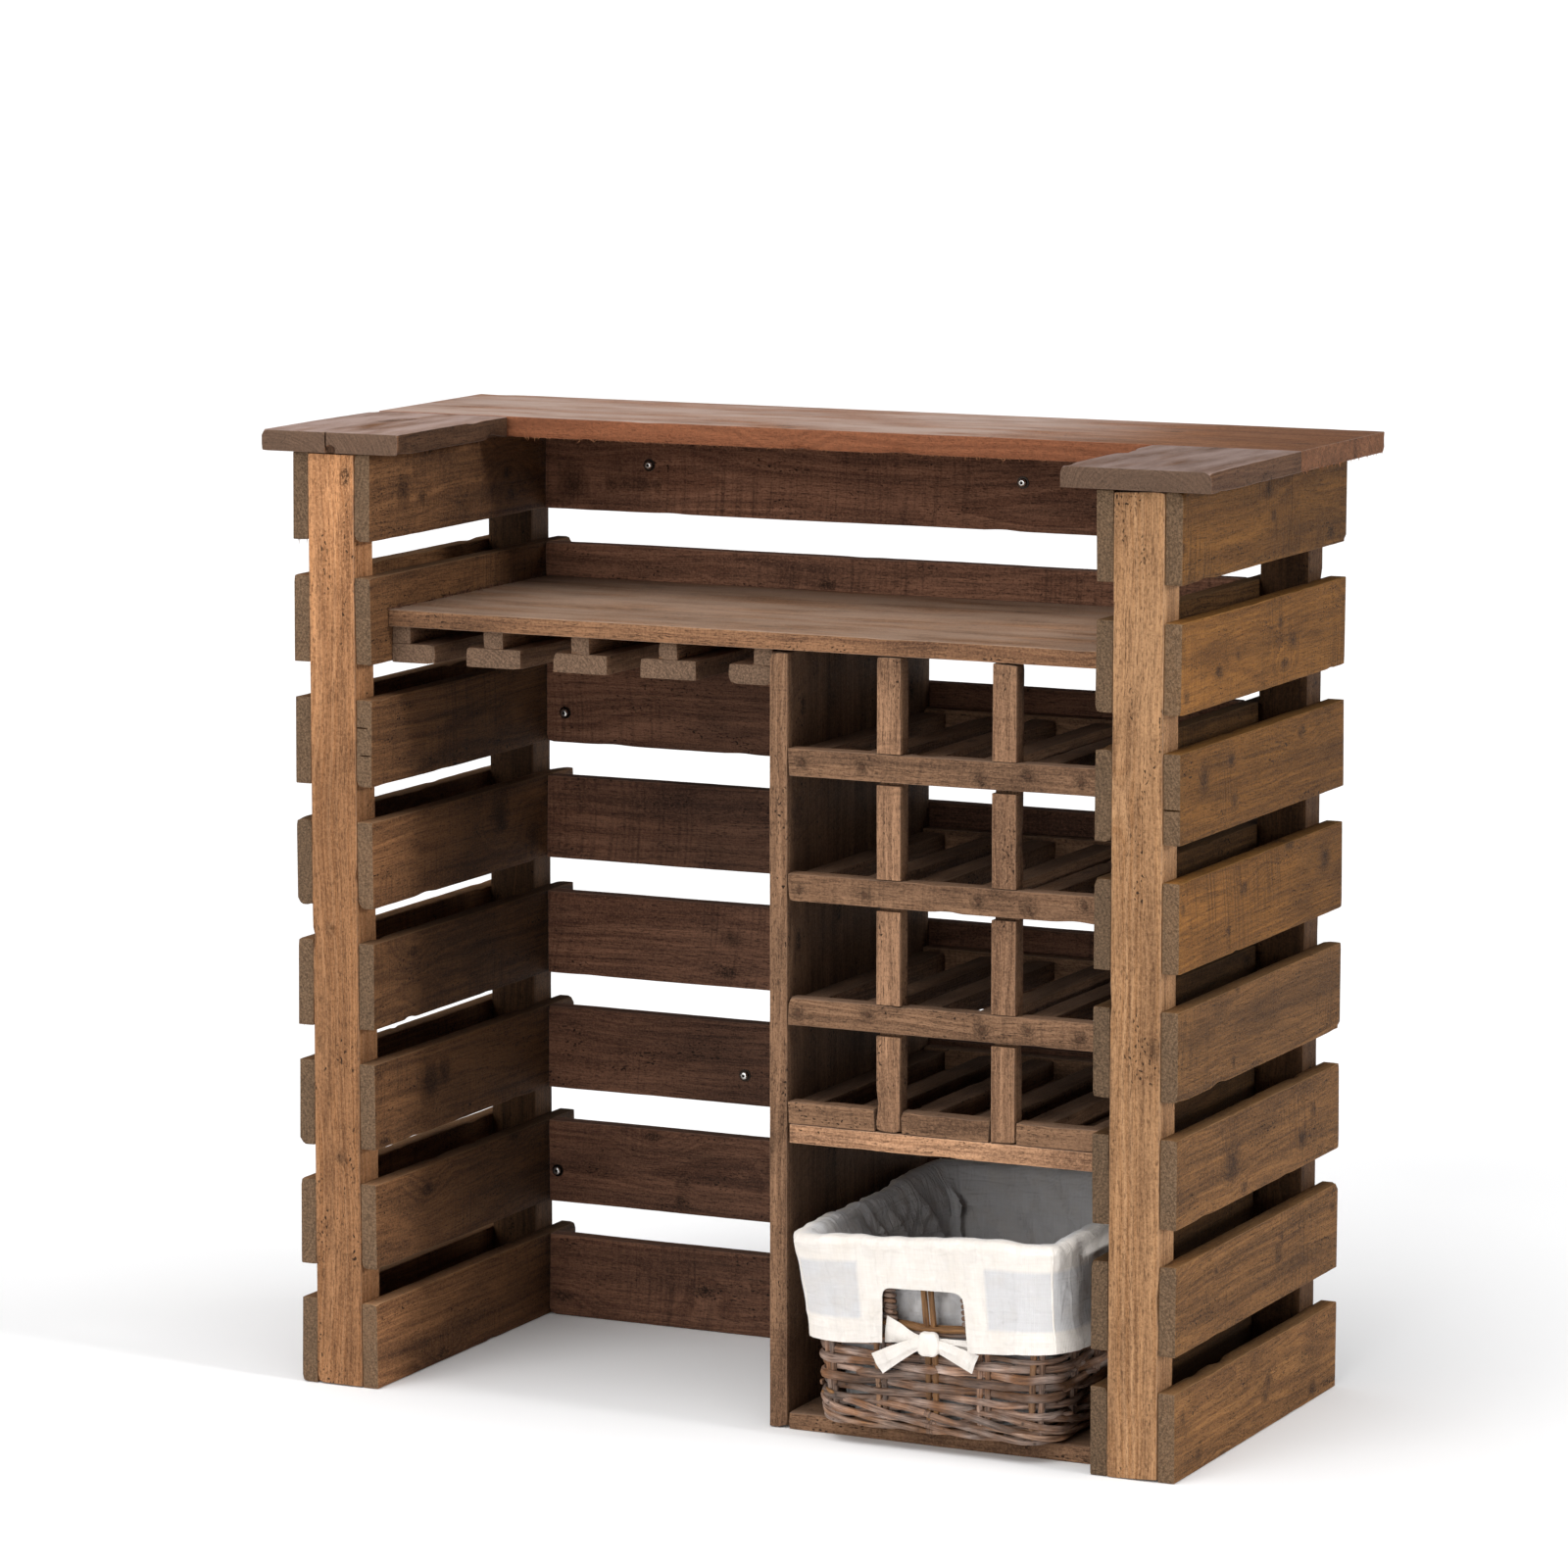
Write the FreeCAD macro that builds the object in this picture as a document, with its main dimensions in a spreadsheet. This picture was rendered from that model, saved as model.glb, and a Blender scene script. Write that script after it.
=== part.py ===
import FreeCAD, Part
import os
import Sketcher

# A bar counter of reclaimed boards, open on the bartender's side.
# Two slatted side panels and a slatted front carry a U-shaped counter. Inside are a shelf, a hanging rack
# for stemmed glasses, a cross-lapped bottle rack and a bay with a lined wicker basket that pulls out.
# Frame: +Z up from the floor, +X to the right seen from the bartender's side, +Y towards the guests.
# The origin lies on the floor under the middle of the counter. All sizes are in millimetres.

doc = FreeCAD.newDocument("bar_cabinet")
sizes = doc.addObject("Spreadsheet::Sheet", "sizes")

# Driving dimensions
DRIVING = [
    ("panel_width", 986, "across the outer faces of the side panels"),
    ("panel_depth", 450, "length of a side slat, front to rear"),
    ("slat_height", 91, "width of a slat's face"),
    ("slat_gap", 36, "open gap between two slats"),
    ("slat_thick", 18, "thickness of a slat"),
    ("post_width", 54, "post, across the panel's thickness"),
    ("post_depth", 40, "post, front to rear"),
    ("rear_post_inset", 20, "rear post, in from the slats' rear ends"),
    ("back_recess", 47, "back slats, in from the side slats' rear ends"),
    ("arris", 1.5, "eased edge of a sawn board"),
    ("board_rise", 37, "shelf and rack rails, above the lower edge of the slat they are nailed to"),
    ("shelf_thick", 18, "shelf board"),
    ("shelf_setback", 37, "shelf, divider and rack, behind the panels' front faces"),
    ("divider_thick", 20, "upright panel between the open bay and the bottle rack"),
    ("base_thick", 18, "board on the floor under the basket"),
    ("cell_width", 98.5, "bottle cell, between uprights"),
    ("upright_width", 27, "rack upright"),
    ("rail_height", 29, "rack cross rail"),
    ("rack_timber", 20, "rack uprights and rails, front to rear"),
    ("lap_depth", 10, "depth of the lap cut in an upright"),
    ("runner_width", 28, "batten that a bottle lies on"),
    ("runner_height", 20, "batten that a bottle lies on"),
    ("runner_drop", 4, "runner's top below the rail's top"),
    ("floor_rise", 43, "rack floor, above the lower edge of the slat it is nailed to"),
    ("floor_thick", 20, "rack floor board"),
    ("sill_height", 23, "block across the mouth of a bottom cell"),
    ("glass_slot", 37, "gap that a glass stem slides along"),
    ("glass_foot", 63, "batten under a glass rail's stem"),
    ("glass_foot_thick", 20, "batten under a glass rail's stem"),
    ("glass_stem", 22, "batten that hangs a foot batten from the shelf"),
    ("glass_drop", 18, "height of that batten"),
    ("glass_half_least", 24, "least width of the half foot at each wall"),
    ("glass_setback", 8, "glass rails, behind the shelf's front edge"),
    ("counter_thick", 22, "counter boards"),
    ("side_overhang", 33, "counter past the side panels"),
    ("front_overhang", 8, "counter past the panels' front faces"),
    ("rear_overhang", 22, "counter past the side slats' rear ends"),
    ("wing_width", 160, "side board of the counter"),
    ("wing_length", 243, "side board of the counter, front to rear"),
    ("counter_taper", 20, "long counter board, narrower at its left end"),
    ("counter_corner", 18, "rounding of the long board's rear corners"),
    ("screw_head", 9, "button head diameter"),
    ("screw_head_height", 4, "button head"),
    ("screw_dome", 2.4, "rounding of the button head's rim"),
    ("screw_socket", 4, "socket, across its corners"),
    ("screw_socket_depth", 2.5, "socket in the head"),
    ("washer", 13, "washer diameter"),
    ("washer_thick", 1.2, "washer"),
    ("screw_shank", 5, "shank diameter"),
    ("screw_length", 14, "shank in the slat"),
    ("screw_clearance", 0.2, "hole past the shank, in radius and in depth"),
    ("basket_side_room", 30, "basket's rim to the bay's walls"),
    ("basket_rear_room", 28, "basket's rim to the back slats"),
    ("basket_reach", 3, "basket's rim behind the counter's front edge"),
    ("basket_side_flare", 12, "rim past the base, each side"),
    ("basket_end_flare", 12, "rim past the base, front and rear"),
    ("basket_height", 205, "basket without its liner"),
    ("basket_wall", 9, "woven wall"),
    ("basket_floor", 10, "woven floor"),
    ("basket_corner", 38, "corner radius of the woven wall, outside"),
    ("grip_width", 82, "hand hole in the basket's end"),
    ("grip_height", 44, "hand hole in the basket's end"),
    ("grip_drop", 47, "hand hole, below the rim"),
    ("liner_thick", 2, "cotton liner"),
    ("liner_gap", 0.4, "liner to the woven wall, and bow to the liner"),
    ("cuff_drop", 115, "liner's cuff below the rim"),
    ("notch_width", 88, "cuff's notch round the hand hole"),
    ("notch_drop", 50, "top of the notch below the rim"),
    ("bow_rise", 8.5, "knot's middle above the cuff's hem"),
    ("bow_thick", 2, "ribbon"),
    ("bow_ribbon", 22, "width of the ribbon at a tail's end"),
    ("bow_waist", 10, "half the ribbon's width where it is drawn into the knot"),
    ("tie_top", 16, "upper corner of a tie at the notch's edge, above the knot's middle"),
    ("tie_bottom", 8, "lower corner of a tie at the notch's edge, below the knot's middle"),
    ("tie_dip", 5, "upper edge of the ties at the knot, above its middle"),
    ("tail_reach", 56, "end of a tail from the knot's middle"),
    ("tail_drop", 15, "upper corner of a tail's end below the knot's middle"),
    ("tail_slant", 3, "slanting cut of a tail's end"),
    ("fork_reach", 13, "fork between tie and tail, from the knot's middle"),
    ("fork_drop", 3, "fork between tie and tail, below the knot's middle"),
    ("knot_width", 24, "knot of the bow"),
    ("knot_height", 26, "knot of the bow"),
    ("knot_thick", 9, "knot of the bow, front to rear"),
    ("knot_round", 5, "rounding of the knot's front edges"),
]
# Screws in the back slats, spread as the maker drove them: slat level, then two distances
SCREWS = ((1, 127, 52), (1, 562, 52), (3, 24, 33), (6, 240, 33), (7, 12, 35))
for number, (level, across, up) in enumerate(SCREWS, start=1):
    DRIVING.append((f"screw_{number}_across", across, f"screw {number}, from the left panel"))
    DRIVING.append((f"screw_{number}_up", up, f"screw {number}, above the lower edge of slat {level}"))
for row, (alias, value, meaning) in enumerate(DRIVING, start=1):
    sizes.set(f"A{row}", meaning)
    sizes.set(f"B{row}", str(value))
    sizes.setAlias(f"B{row}", alias)
doc.recompute()

# Counts
LEVELS = 8
COLUMNS = 3
RAIL_LEVELS = (3, 4, 5)
SHELF_LEVEL = 2
FLOOR_LEVEL = 6

# Places worked out from the driving dimensions, as expressions in the frame's own axes
FRONT = "(-(sizes.panel_depth + sizes.rear_overhang - sizes.front_overhang) / 2)"
REAR = f"({FRONT} + sizes.panel_depth)"
COUNTER_FRONT = f"({FRONT} - sizes.front_overhang)"
COUNTER_SIDE = "(sizes.panel_width / 2 + sizes.side_overhang)"
COUNTER_JOINT = f"({COUNTER_FRONT} + sizes.wing_length)"
INNER = "(sizes.panel_width / 2 - 2 * sizes.slat_thick - sizes.post_width)"
BACK = f"({REAR} - sizes.back_recess - sizes.slat_thick)"
SHELF_FRONT = f"({FRONT} + sizes.shelf_setback)"
BAY_DEPTH = f"({BACK} - {SHELF_FRONT})"
PITCH = "(sizes.slat_height + sizes.slat_gap)"
COUNTER_BOTTOM = f"({LEVELS} * sizes.slat_height + {LEVELS - 1} * sizes.slat_gap)"
RACK_WIDTH = f"({COLUMNS} * sizes.cell_width + {COLUMNS - 1} * sizes.upright_width)"
RACK_LEFT = f"({INNER} - {RACK_WIDTH})"
DIVIDER_LEFT = f"({RACK_LEFT} - sizes.divider_thick)"
RACK_REAR_RAIL = f"({BACK} - sizes.rack_timber)"


def slat_bottom(level):
    """Lower edge of a slat; level 1 is the slat under the counter."""
    return f"({LEVELS - level} * {PITCH})"


SHELF_BOTTOM = f"({slat_bottom(SHELF_LEVEL)} + sizes.board_rise)"
FLOOR_BOTTOM = f"({slat_bottom(FLOOR_LEVEL)} + sizes.floor_rise)"
FLOOR_TOP = f"({FLOOR_BOTTOM} + sizes.floor_thick)"
nodes = []


def node(thing, label):
    """Counts a finished object as a sub-part that gets its own file."""
    thing.Label = label
    nodes.append(thing)
    return thing


def place(thing, x, y, z):
    """Binds an object's position to the sheet."""
    thing.setExpression("Placement.Base.x", x)
    thing.setExpression("Placement.Base.y", y)
    thing.setExpression("Placement.Base.z", z)


def size_of(expression):
    """Value of an expression at the present sizes."""
    value = sizes.evalExpression(expression)
    return float(getattr(value, "Value", value))


def plane(body, role):
    """One of a body's own origin planes."""
    return next(feature for feature in body.Origin.OriginFeatures if feature.Role == role)


def bind(sketch, number, name, expression):
    """Names a sketch dimension and ties it to the sheet."""
    sketch.renameConstraint(number, name)
    sketch.setExpression(f"Constraints.{name}", expression)


def outline(sketch, corners):
    """Closed straight outline whose corners are bound to the sheet, each as an x and a y expression."""
    points = [FreeCAD.Vector(size_of(x), size_of(y), 0) for x, y in corners]
    count = len(points)
    for n in range(count):
        sketch.addGeometry(Part.LineSegment(points[n], points[(n + 1) % count]))
    for n in range(count):
        sketch.addConstraint(Sketcher.Constraint("Coincident", n, 2, (n + 1) % count, 1))
    for n, (x, y) in enumerate(corners):
        for axis, kind, value in (("x", "DistanceX", x), ("y", "DistanceY", y)):
            start = getattr(points[n], axis)
            number = sketch.addConstraint(Sketcher.Constraint(kind, -1, 1, n, 1, start))
            bind(sketch, number, f"corner_{n}_{axis}", value)


def padded_outline(body, corners, height):
    """A sketch of straight edges on the body's XY plane, padded upwards."""
    sketch = body.newObject("Sketcher::SketchObject", "profile")
    sketch.AttachmentSupport = [(plane(body, "XY_Plane"), "")]
    sketch.MapMode = "FlatFace"
    outline(sketch, corners)
    pad = body.newObject("PartDesign::Pad", "thickness")
    pad.Profile = sketch
    pad.setExpression("Length", height)
    doc.recompute()
    return pad


PARALLEL = 0.99


def edges_along(shape, direction):
    """Names of a shape's straight edges that run along a direction."""
    names = []
    for number, edge in enumerate(shape.Edges, start=1):
        if abs(edge.tangentAt(edge.FirstParameter).dot(direction)) > PARALLEL:
            names.append(f"Edge{number}")
    return names


def ease(body, base, edges):
    """Chamfers the named edges as hand planing or wear does."""
    chamfer = body.newObject("PartDesign::Chamfer", "eased_edges")
    chamfer.Base = (base, edges)
    chamfer.setExpression("Size", "sizes.arris")
    doc.recompute()
    return chamfer


GRAIN = {"X": FreeCAD.Vector(1, 0, 0), "Y": FreeCAD.Vector(0, 1, 0), "Z": FreeCAD.Vector(0, 0, 1)}


def board(label, grain, size, corner):
    """A sawn board with eased long edges; size and low corner are expressions along X, Y and Z."""
    across, along, height = size
    body = doc.addObject("PartDesign::Body", label)
    pad = padded_outline(body, (("0", "0"), (across, "0"), (across, along), ("0", along)), height)
    ease(body, pad, edges_along(pad.Shape, GRAIN[grain]))
    place(body, *corner)
    return node(body, label)


def batten(size, corner):
    """A small square-edged batten, as one member of a group."""
    box = doc.addObject("Part::Box", "batten")
    for name, expression in zip(("Length", "Width", "Height"), size):
        box.setExpression(name, expression)
    place(box, *corner)
    return box


def group(label, members):
    """Like pieces that share one node, each still a solid of its own."""
    together = doc.addObject("Part::Compound", label)
    together.Links = members
    return node(together, label)


# Side panels: slats nailed to both faces of two posts, flush with the posts' front faces
POST_LENGTH = COUNTER_BOTTOM
POST_SIZE = ("sizes.post_width", "sizes.post_depth", POST_LENGTH)
REAR_POST = f"({REAR} - sizes.rear_post_inset - sizes.post_depth)"
LEFT_OUTER = "(-sizes.panel_width / 2)"
RIGHT_OUTER = "(sizes.panel_width / 2 - sizes.slat_thick)"
PANELS = {
    "left": (LEFT_OUTER, f"({LEFT_OUTER} + sizes.slat_thick)", f"(-{INNER} - sizes.slat_thick)"),
    "right": (RIGHT_OUTER, f"({RIGHT_OUTER} - sizes.post_width)", INNER),
}
SIDE_SLAT = ("sizes.slat_thick", "sizes.panel_depth", "sizes.slat_height")
for side, (outer_x, post_x, inner_x) in PANELS.items():
    board(f"{side}_front_post", "Z", POST_SIZE, (post_x, FRONT, "0"))
    board(f"{side}_rear_post", "Z", POST_SIZE, (post_x, REAR_POST, "0"))
    for level in range(1, LEVELS + 1):
        board(f"{side}_outer_slat_{level}", "Y", SIDE_SLAT, (outer_x, FRONT, slat_bottom(level)))
        board(f"{side}_inner_slat_{level}", "Y", SIDE_SLAT, (inner_x, FRONT, slat_bottom(level)))


# Back slats: one layer between the side panels' inner slats, some with a screw hole
LEAST_CUT = 1


def screw_hole(body, number):
    """Blind hole for a screw's shank, cut into the slat from its bartender's side."""
    sketch = body.newObject("Sketcher::SketchObject", "screw_place")
    sketch.AttachmentSupport = [(plane(body, "XZ_Plane"), "")]
    sketch.MapMode = "FlatFace"
    hole = "sizes.screw_shank / 2 + sizes.screw_clearance"
    across = f"sizes.screw_{number}_across"
    up = f"sizes.screw_{number}_up"
    centre = FreeCAD.Vector(size_of(across), size_of(up), 0)
    sketch.addGeometry(Part.Circle(centre, GRAIN["Z"], size_of(hole)))
    level_place = sketch.addConstraint(Sketcher.Constraint("DistanceX", -1, 1, 0, 3, centre.x))
    height_place = sketch.addConstraint(Sketcher.Constraint("DistanceY", -1, 1, 0, 3, centre.y))
    radius = sketch.addConstraint(Sketcher.Constraint("Radius", 0, size_of(hole)))
    bind(sketch, level_place, "across", across)
    bind(sketch, height_place, "up", up)
    bind(sketch, radius, "hole", hole)
    pocket = body.newObject("PartDesign::Pocket", "screw_hole")
    pocket.Profile = sketch
    pocket.setExpression("Length", "sizes.screw_length + sizes.screw_clearance")
    solid_before = pocket.BaseFeature.Shape.Volume
    doc.recompute()
    if pocket.Shape.Volume > solid_before - LEAST_CUT:
        pocket.Reversed = True
        doc.recompute()
    if pocket.Shape.Volume > solid_before - LEAST_CUT:
        raise RuntimeError(f"{body.Label}: the screw hole cut nothing")


BACK_SLAT = (f"2 * {INNER}", "sizes.slat_thick", "sizes.slat_height")
for level in range(1, LEVELS + 1):
    slat = board(f"back_slat_{level}", "X", BACK_SLAT, (f"-{INNER}", BACK, slat_bottom(level)))
    for number, (screw_level, across, up) in enumerate(SCREWS, start=1):
        if screw_level == level:
            screw_hole(slat, number)


# Socket screws with washers, driven into the back slats from the bartender's side
def round_part(body, name, diameter, height, low):
    """A cylinder about the body's Z axis, from a height along it."""
    cylinder = body.newObject("PartDesign::AdditiveCylinder", name)
    cylinder.setExpression("Radius", f"{diameter} / 2")
    cylinder.setExpression("Height", height)
    cylinder.setExpression("Placement.Base.z", low)
    doc.recompute()
    return cylinder


def highest_edges(shape):
    """Names of the edges that lie in a shape's top face."""
    top = max(shape.Faces, key=lambda face: face.CenterOfMass.z)
    return [f"Edge{n}" for n, edge in enumerate(shape.Edges, 1) if any(edge.isSame(e) for e in top.Edges)]


def screw(number, level):
    """One screw, modelled head up and then turned so that its head faces the bartender."""
    body = doc.addObject("PartDesign::Body", "screw")
    round_part(body, "shank", "sizes.screw_shank", "sizes.screw_length", "-sizes.screw_length")
    round_part(body, "washer_disc", "sizes.washer", "sizes.washer_thick", "0")
    head = round_part(body, "head", "sizes.screw_head", "sizes.screw_head_height", "sizes.washer_thick")
    dome = body.newObject("PartDesign::Fillet", "button_top")
    dome.Base = (head, highest_edges(head.Shape))
    dome.setExpression("Radius", "sizes.screw_dome")
    doc.recompute()
    socket = body.newObject("PartDesign::SubtractivePrism", "socket")
    socket.Polygon = 6
    socket.setExpression("Circumradius", "sizes.screw_socket / 2")
    socket.setExpression("Height", "sizes.screw_socket_depth")
    socket_floor = "sizes.washer_thick + sizes.screw_head_height - sizes.screw_socket_depth"
    socket.setExpression("Placement.Base.z", socket_floor)
    doc.recompute()
    body.Placement.Rotation = FreeCAD.Rotation(GRAIN["X"], 90)
    screw_x = f"-{INNER} + sizes.screw_{number}_across"
    place(body, screw_x, BACK, f"{slat_bottom(level)} + sizes.screw_{number}_up")
    return body


screws = [screw(number, level) for number, (level, across, up) in enumerate(SCREWS, start=1)]
group("assembly_screws", screws)

# Shelf, divider and base board
SHELF_SIZE = (f"2 * {INNER}", BAY_DEPTH, "sizes.shelf_thick")
DIVIDER_SIZE = ("sizes.divider_thick", BAY_DEPTH, SHELF_BOTTOM)
BASE_SIZE = (RACK_WIDTH, BAY_DEPTH, "sizes.base_thick")
FLOOR_SIZE = (RACK_WIDTH, BAY_DEPTH, "sizes.floor_thick")
board("shelf_board", "X", SHELF_SIZE, (f"-{INNER}", SHELF_FRONT, SHELF_BOTTOM))
board("rack_divider", "Z", DIVIDER_SIZE, (DIVIDER_LEFT, SHELF_FRONT, "0"))
board("base_board", "X", BASE_SIZE, (RACK_LEFT, SHELF_FRONT, "0"))
board("rack_floor", "X", FLOOR_SIZE, (RACK_LEFT, SHELF_FRONT, FLOOR_BOTTOM))


# Bottle rack: uprights and front rails are cross-lapped, with the rails in front
def rail_bottom(level):
    """Lower edge of the rack rail that is nailed to a slat level."""
    return f"({slat_bottom(level)} + sizes.board_rise)"


def upright_left(number):
    """Left face of a rack upright, counted from the divider."""
    return f"({number} * sizes.cell_width + {number - 1} * sizes.upright_width)"


def notched(name, size, notches, corner):
    """A square timber with lap cuts, each a low corner and a size in the timber's own frame."""
    body = doc.addObject("PartDesign::Body", name)
    across, along, height = size
    padded_outline(body, (("0", "0"), (across, "0"), (across, along), ("0", along)), height)
    for low, cut_size in notches:
        lap = body.newObject("PartDesign::SubtractiveBox", "lap")
        for side_name, expression in zip(("Length", "Width", "Height"), cut_size):
            lap.setExpression(side_name, expression)
        place(lap, *low)
        doc.recompute()
    place(body, *corner)
    return body


UPRIGHT_SIZE = ("sizes.upright_width", "sizes.rack_timber", f"({SHELF_BOTTOM} - {FLOOR_TOP})")
UPRIGHT_LAP = ("sizes.upright_width", "sizes.lap_depth", "sizes.rail_height")
uprights = []
for number in range(1, COLUMNS):
    laps = [(("0", "0", f"{rail_bottom(level)} - {FLOOR_TOP}"), UPRIGHT_LAP) for level in RAIL_LEVELS]
    corner = (f"{RACK_LEFT} + {upright_left(number)}", SHELF_FRONT, FLOOR_TOP)
    uprights.append(notched("upright", UPRIGHT_SIZE, laps, corner))
group("rack_uprights", uprights)

RAIL_SIZE = (RACK_WIDTH, "sizes.rack_timber", "sizes.rail_height")
RAIL_LAP = ("sizes.upright_width", "sizes.rack_timber - sizes.lap_depth", "sizes.rail_height")
front_rails = []
for level in RAIL_LEVELS:
    laps = [((upright_left(number), "sizes.lap_depth", "0"), RAIL_LAP) for number in range(1, COLUMNS)]
    front_rails.append(notched("front_rail", RAIL_SIZE, laps, (RACK_LEFT, SHELF_FRONT, rail_bottom(level))))
SILL_SIZE = ("sizes.cell_width", "sizes.rack_timber", "sizes.sill_height")
CELL_PITCH = "(sizes.cell_width + sizes.upright_width)"
for column in range(COLUMNS):
    cell_left = f"{RACK_LEFT} + {column} * {CELL_PITCH}"
    front_rails.append(batten(SILL_SIZE, (cell_left, SHELF_FRONT, FLOOR_TOP)))
group("rack_front_rails", front_rails)

REAR_SILL = (RACK_WIDTH, "sizes.rack_timber", "sizes.sill_height")
rear_rails = [batten(RAIL_SIZE, (RACK_LEFT, RACK_REAR_RAIL, rail_bottom(level))) for level in RAIL_LEVELS]
rear_rails.append(batten(REAR_SILL, (RACK_LEFT, RACK_REAR_RAIL, FLOOR_TOP)))
group("rack_rear_rails", rear_rails)

RUNNER_FRONT = f"({SHELF_FRONT} + sizes.rack_timber)"
RUNNER_SIZE = ("sizes.runner_width", f"({RACK_REAR_RAIL} - {RUNNER_FRONT})", "sizes.runner_height")
runner_tops = [f"({rail_bottom(level)} + sizes.rail_height)" for level in RAIL_LEVELS]
runners = []
for column in range(COLUMNS):
    cell_left = f"{RACK_LEFT} + {column} * {CELL_PITCH}"
    for runner_left in (cell_left, f"{cell_left} + sizes.cell_width - sizes.runner_width"):
        for top in runner_tops:
            runner_bottom = f"{top} - sizes.runner_drop - sizes.runner_height"
            runners.append(batten(RUNNER_SIZE, (runner_left, RUNNER_FRONT, runner_bottom)))
        runners.append(batten(RUNNER_SIZE, (runner_left, RUNNER_FRONT, FLOOR_TOP)))
group("rack_runners", runners)

# Glass rails under the shelf: foot battens hung from stem battens, with a half rail at each wall
GLASS_FRONT = f"({SHELF_FRONT} + sizes.glass_setback)"
GLASS_LENGTH = f"({BACK} - {GLASS_FRONT})"
GLASS_BAY = f"({DIVIDER_LEFT} + {INNER})"
STEM_BOTTOM = f"({SHELF_BOTTOM} - sizes.glass_drop)"
FOOT_BOTTOM = f"({STEM_BOTTOM} - sizes.glass_foot_thick)"
room_for_tees = size_of(f"{GLASS_BAY} - sizes.glass_slot - 2 * sizes.glass_half_least")
TEES = int(room_for_tees // size_of("sizes.glass_foot + sizes.glass_slot"))
HALF_FOOT = f"(({GLASS_BAY} - {TEES} * sizes.glass_foot - {TEES + 1} * sizes.glass_slot) / 2)"
glass_rails = []


def glass_rail(foot_left, foot_width, stem_left):
    """One rail: a foot batten and the stem batten that it hangs from."""
    foot_size = (foot_width, GLASS_LENGTH, "sizes.glass_foot_thick")
    stem_size = ("sizes.glass_stem", GLASS_LENGTH, "sizes.glass_drop")
    glass_rails.append(batten(foot_size, (foot_left, GLASS_FRONT, FOOT_BOTTOM)))
    glass_rails.append(batten(stem_size, (stem_left, GLASS_FRONT, STEM_BOTTOM)))


glass_rail(f"-{INNER}", HALF_FOOT, f"-{INNER}")
FIRST_TEE = f"(-{INNER} + {HALF_FOOT} + sizes.glass_slot)"
for number in range(TEES):
    tee_left = f"({FIRST_TEE} + {number} * (sizes.glass_foot + sizes.glass_slot))"
    glass_rail(tee_left, "sizes.glass_foot", f"{tee_left} + (sizes.glass_foot - sizes.glass_stem) / 2")
glass_rail(f"{DIVIDER_LEFT} - {HALF_FOOT}", HALF_FOOT, f"{DIVIDER_LEFT} - sizes.glass_stem")
group("glass_rails", glass_rails)

# Counter: two side boards butted against a long tapered board
WING_SIZE = ("sizes.wing_width", "sizes.wing_length", "sizes.counter_thick")
board("counter_left_wing", "Y", WING_SIZE, (f"-{COUNTER_SIDE}", COUNTER_FRONT, COUNTER_BOTTOM))
RIGHT_WING = f"{COUNTER_SIDE} - sizes.wing_width"
board("counter_right_wing", "Y", WING_SIZE, (RIGHT_WING, COUNTER_FRONT, COUNTER_BOTTOM))

long_board = doc.addObject("PartDesign::Body", "counter_back_board")
LONG_LENGTH = f"(2 * {COUNTER_SIDE})"
LONG_DEPTH = f"({REAR} + sizes.rear_overhang - {COUNTER_JOINT})"
NARROW_DEPTH = f"{LONG_DEPTH} - sizes.counter_taper"
LONG_OUTLINE = (("0", "0"), (LONG_LENGTH, "0"), (LONG_LENGTH, LONG_DEPTH), ("0", NARROW_DEPTH))
slab = padded_outline(long_board, LONG_OUTLINE, "sizes.counter_thick")
middle = slab.Shape.CenterOfMass.y
upright_edges = edges_along(slab.Shape, GRAIN["Z"])
rear_corners = [name for name in upright_edges if slab.Shape.getElement(name).CenterOfMass.y > middle]
rounding = long_board.newObject("PartDesign::Fillet", "rounded_corners")
rounding.Base = (slab, rear_corners)
rounding.setExpression("Radius", "sizes.counter_corner")
doc.recompute()
ease(long_board, rounding, edges_along(rounding.Shape, GRAIN["X"]))
place(long_board, f"-{COUNTER_SIDE}", COUNTER_JOINT, COUNTER_BOTTOM)
node(long_board, "counter_back_board")

# Wicker basket: a flared tub with a hand hole in each end, modelled about its own middle
BASKET_WIDTH = f"({RACK_WIDTH} - 2 * sizes.basket_side_room)"
BASKET_FRONT = f"({COUNTER_FRONT} + sizes.basket_reach)"
BASKET_DEPTH = f"({BACK} - sizes.basket_rear_room - {BASKET_FRONT})"
BASKET_X = f"({RACK_LEFT} + {RACK_WIDTH} / 2)"
BASKET_Y = f"({BASKET_FRONT} + {BASKET_DEPTH} / 2)"
BASKET_PLACE = (BASKET_X, BASKET_Y, "sizes.base_thick")
# How far a cutting form runs on past what it cuts
SPARE = "1"


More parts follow.
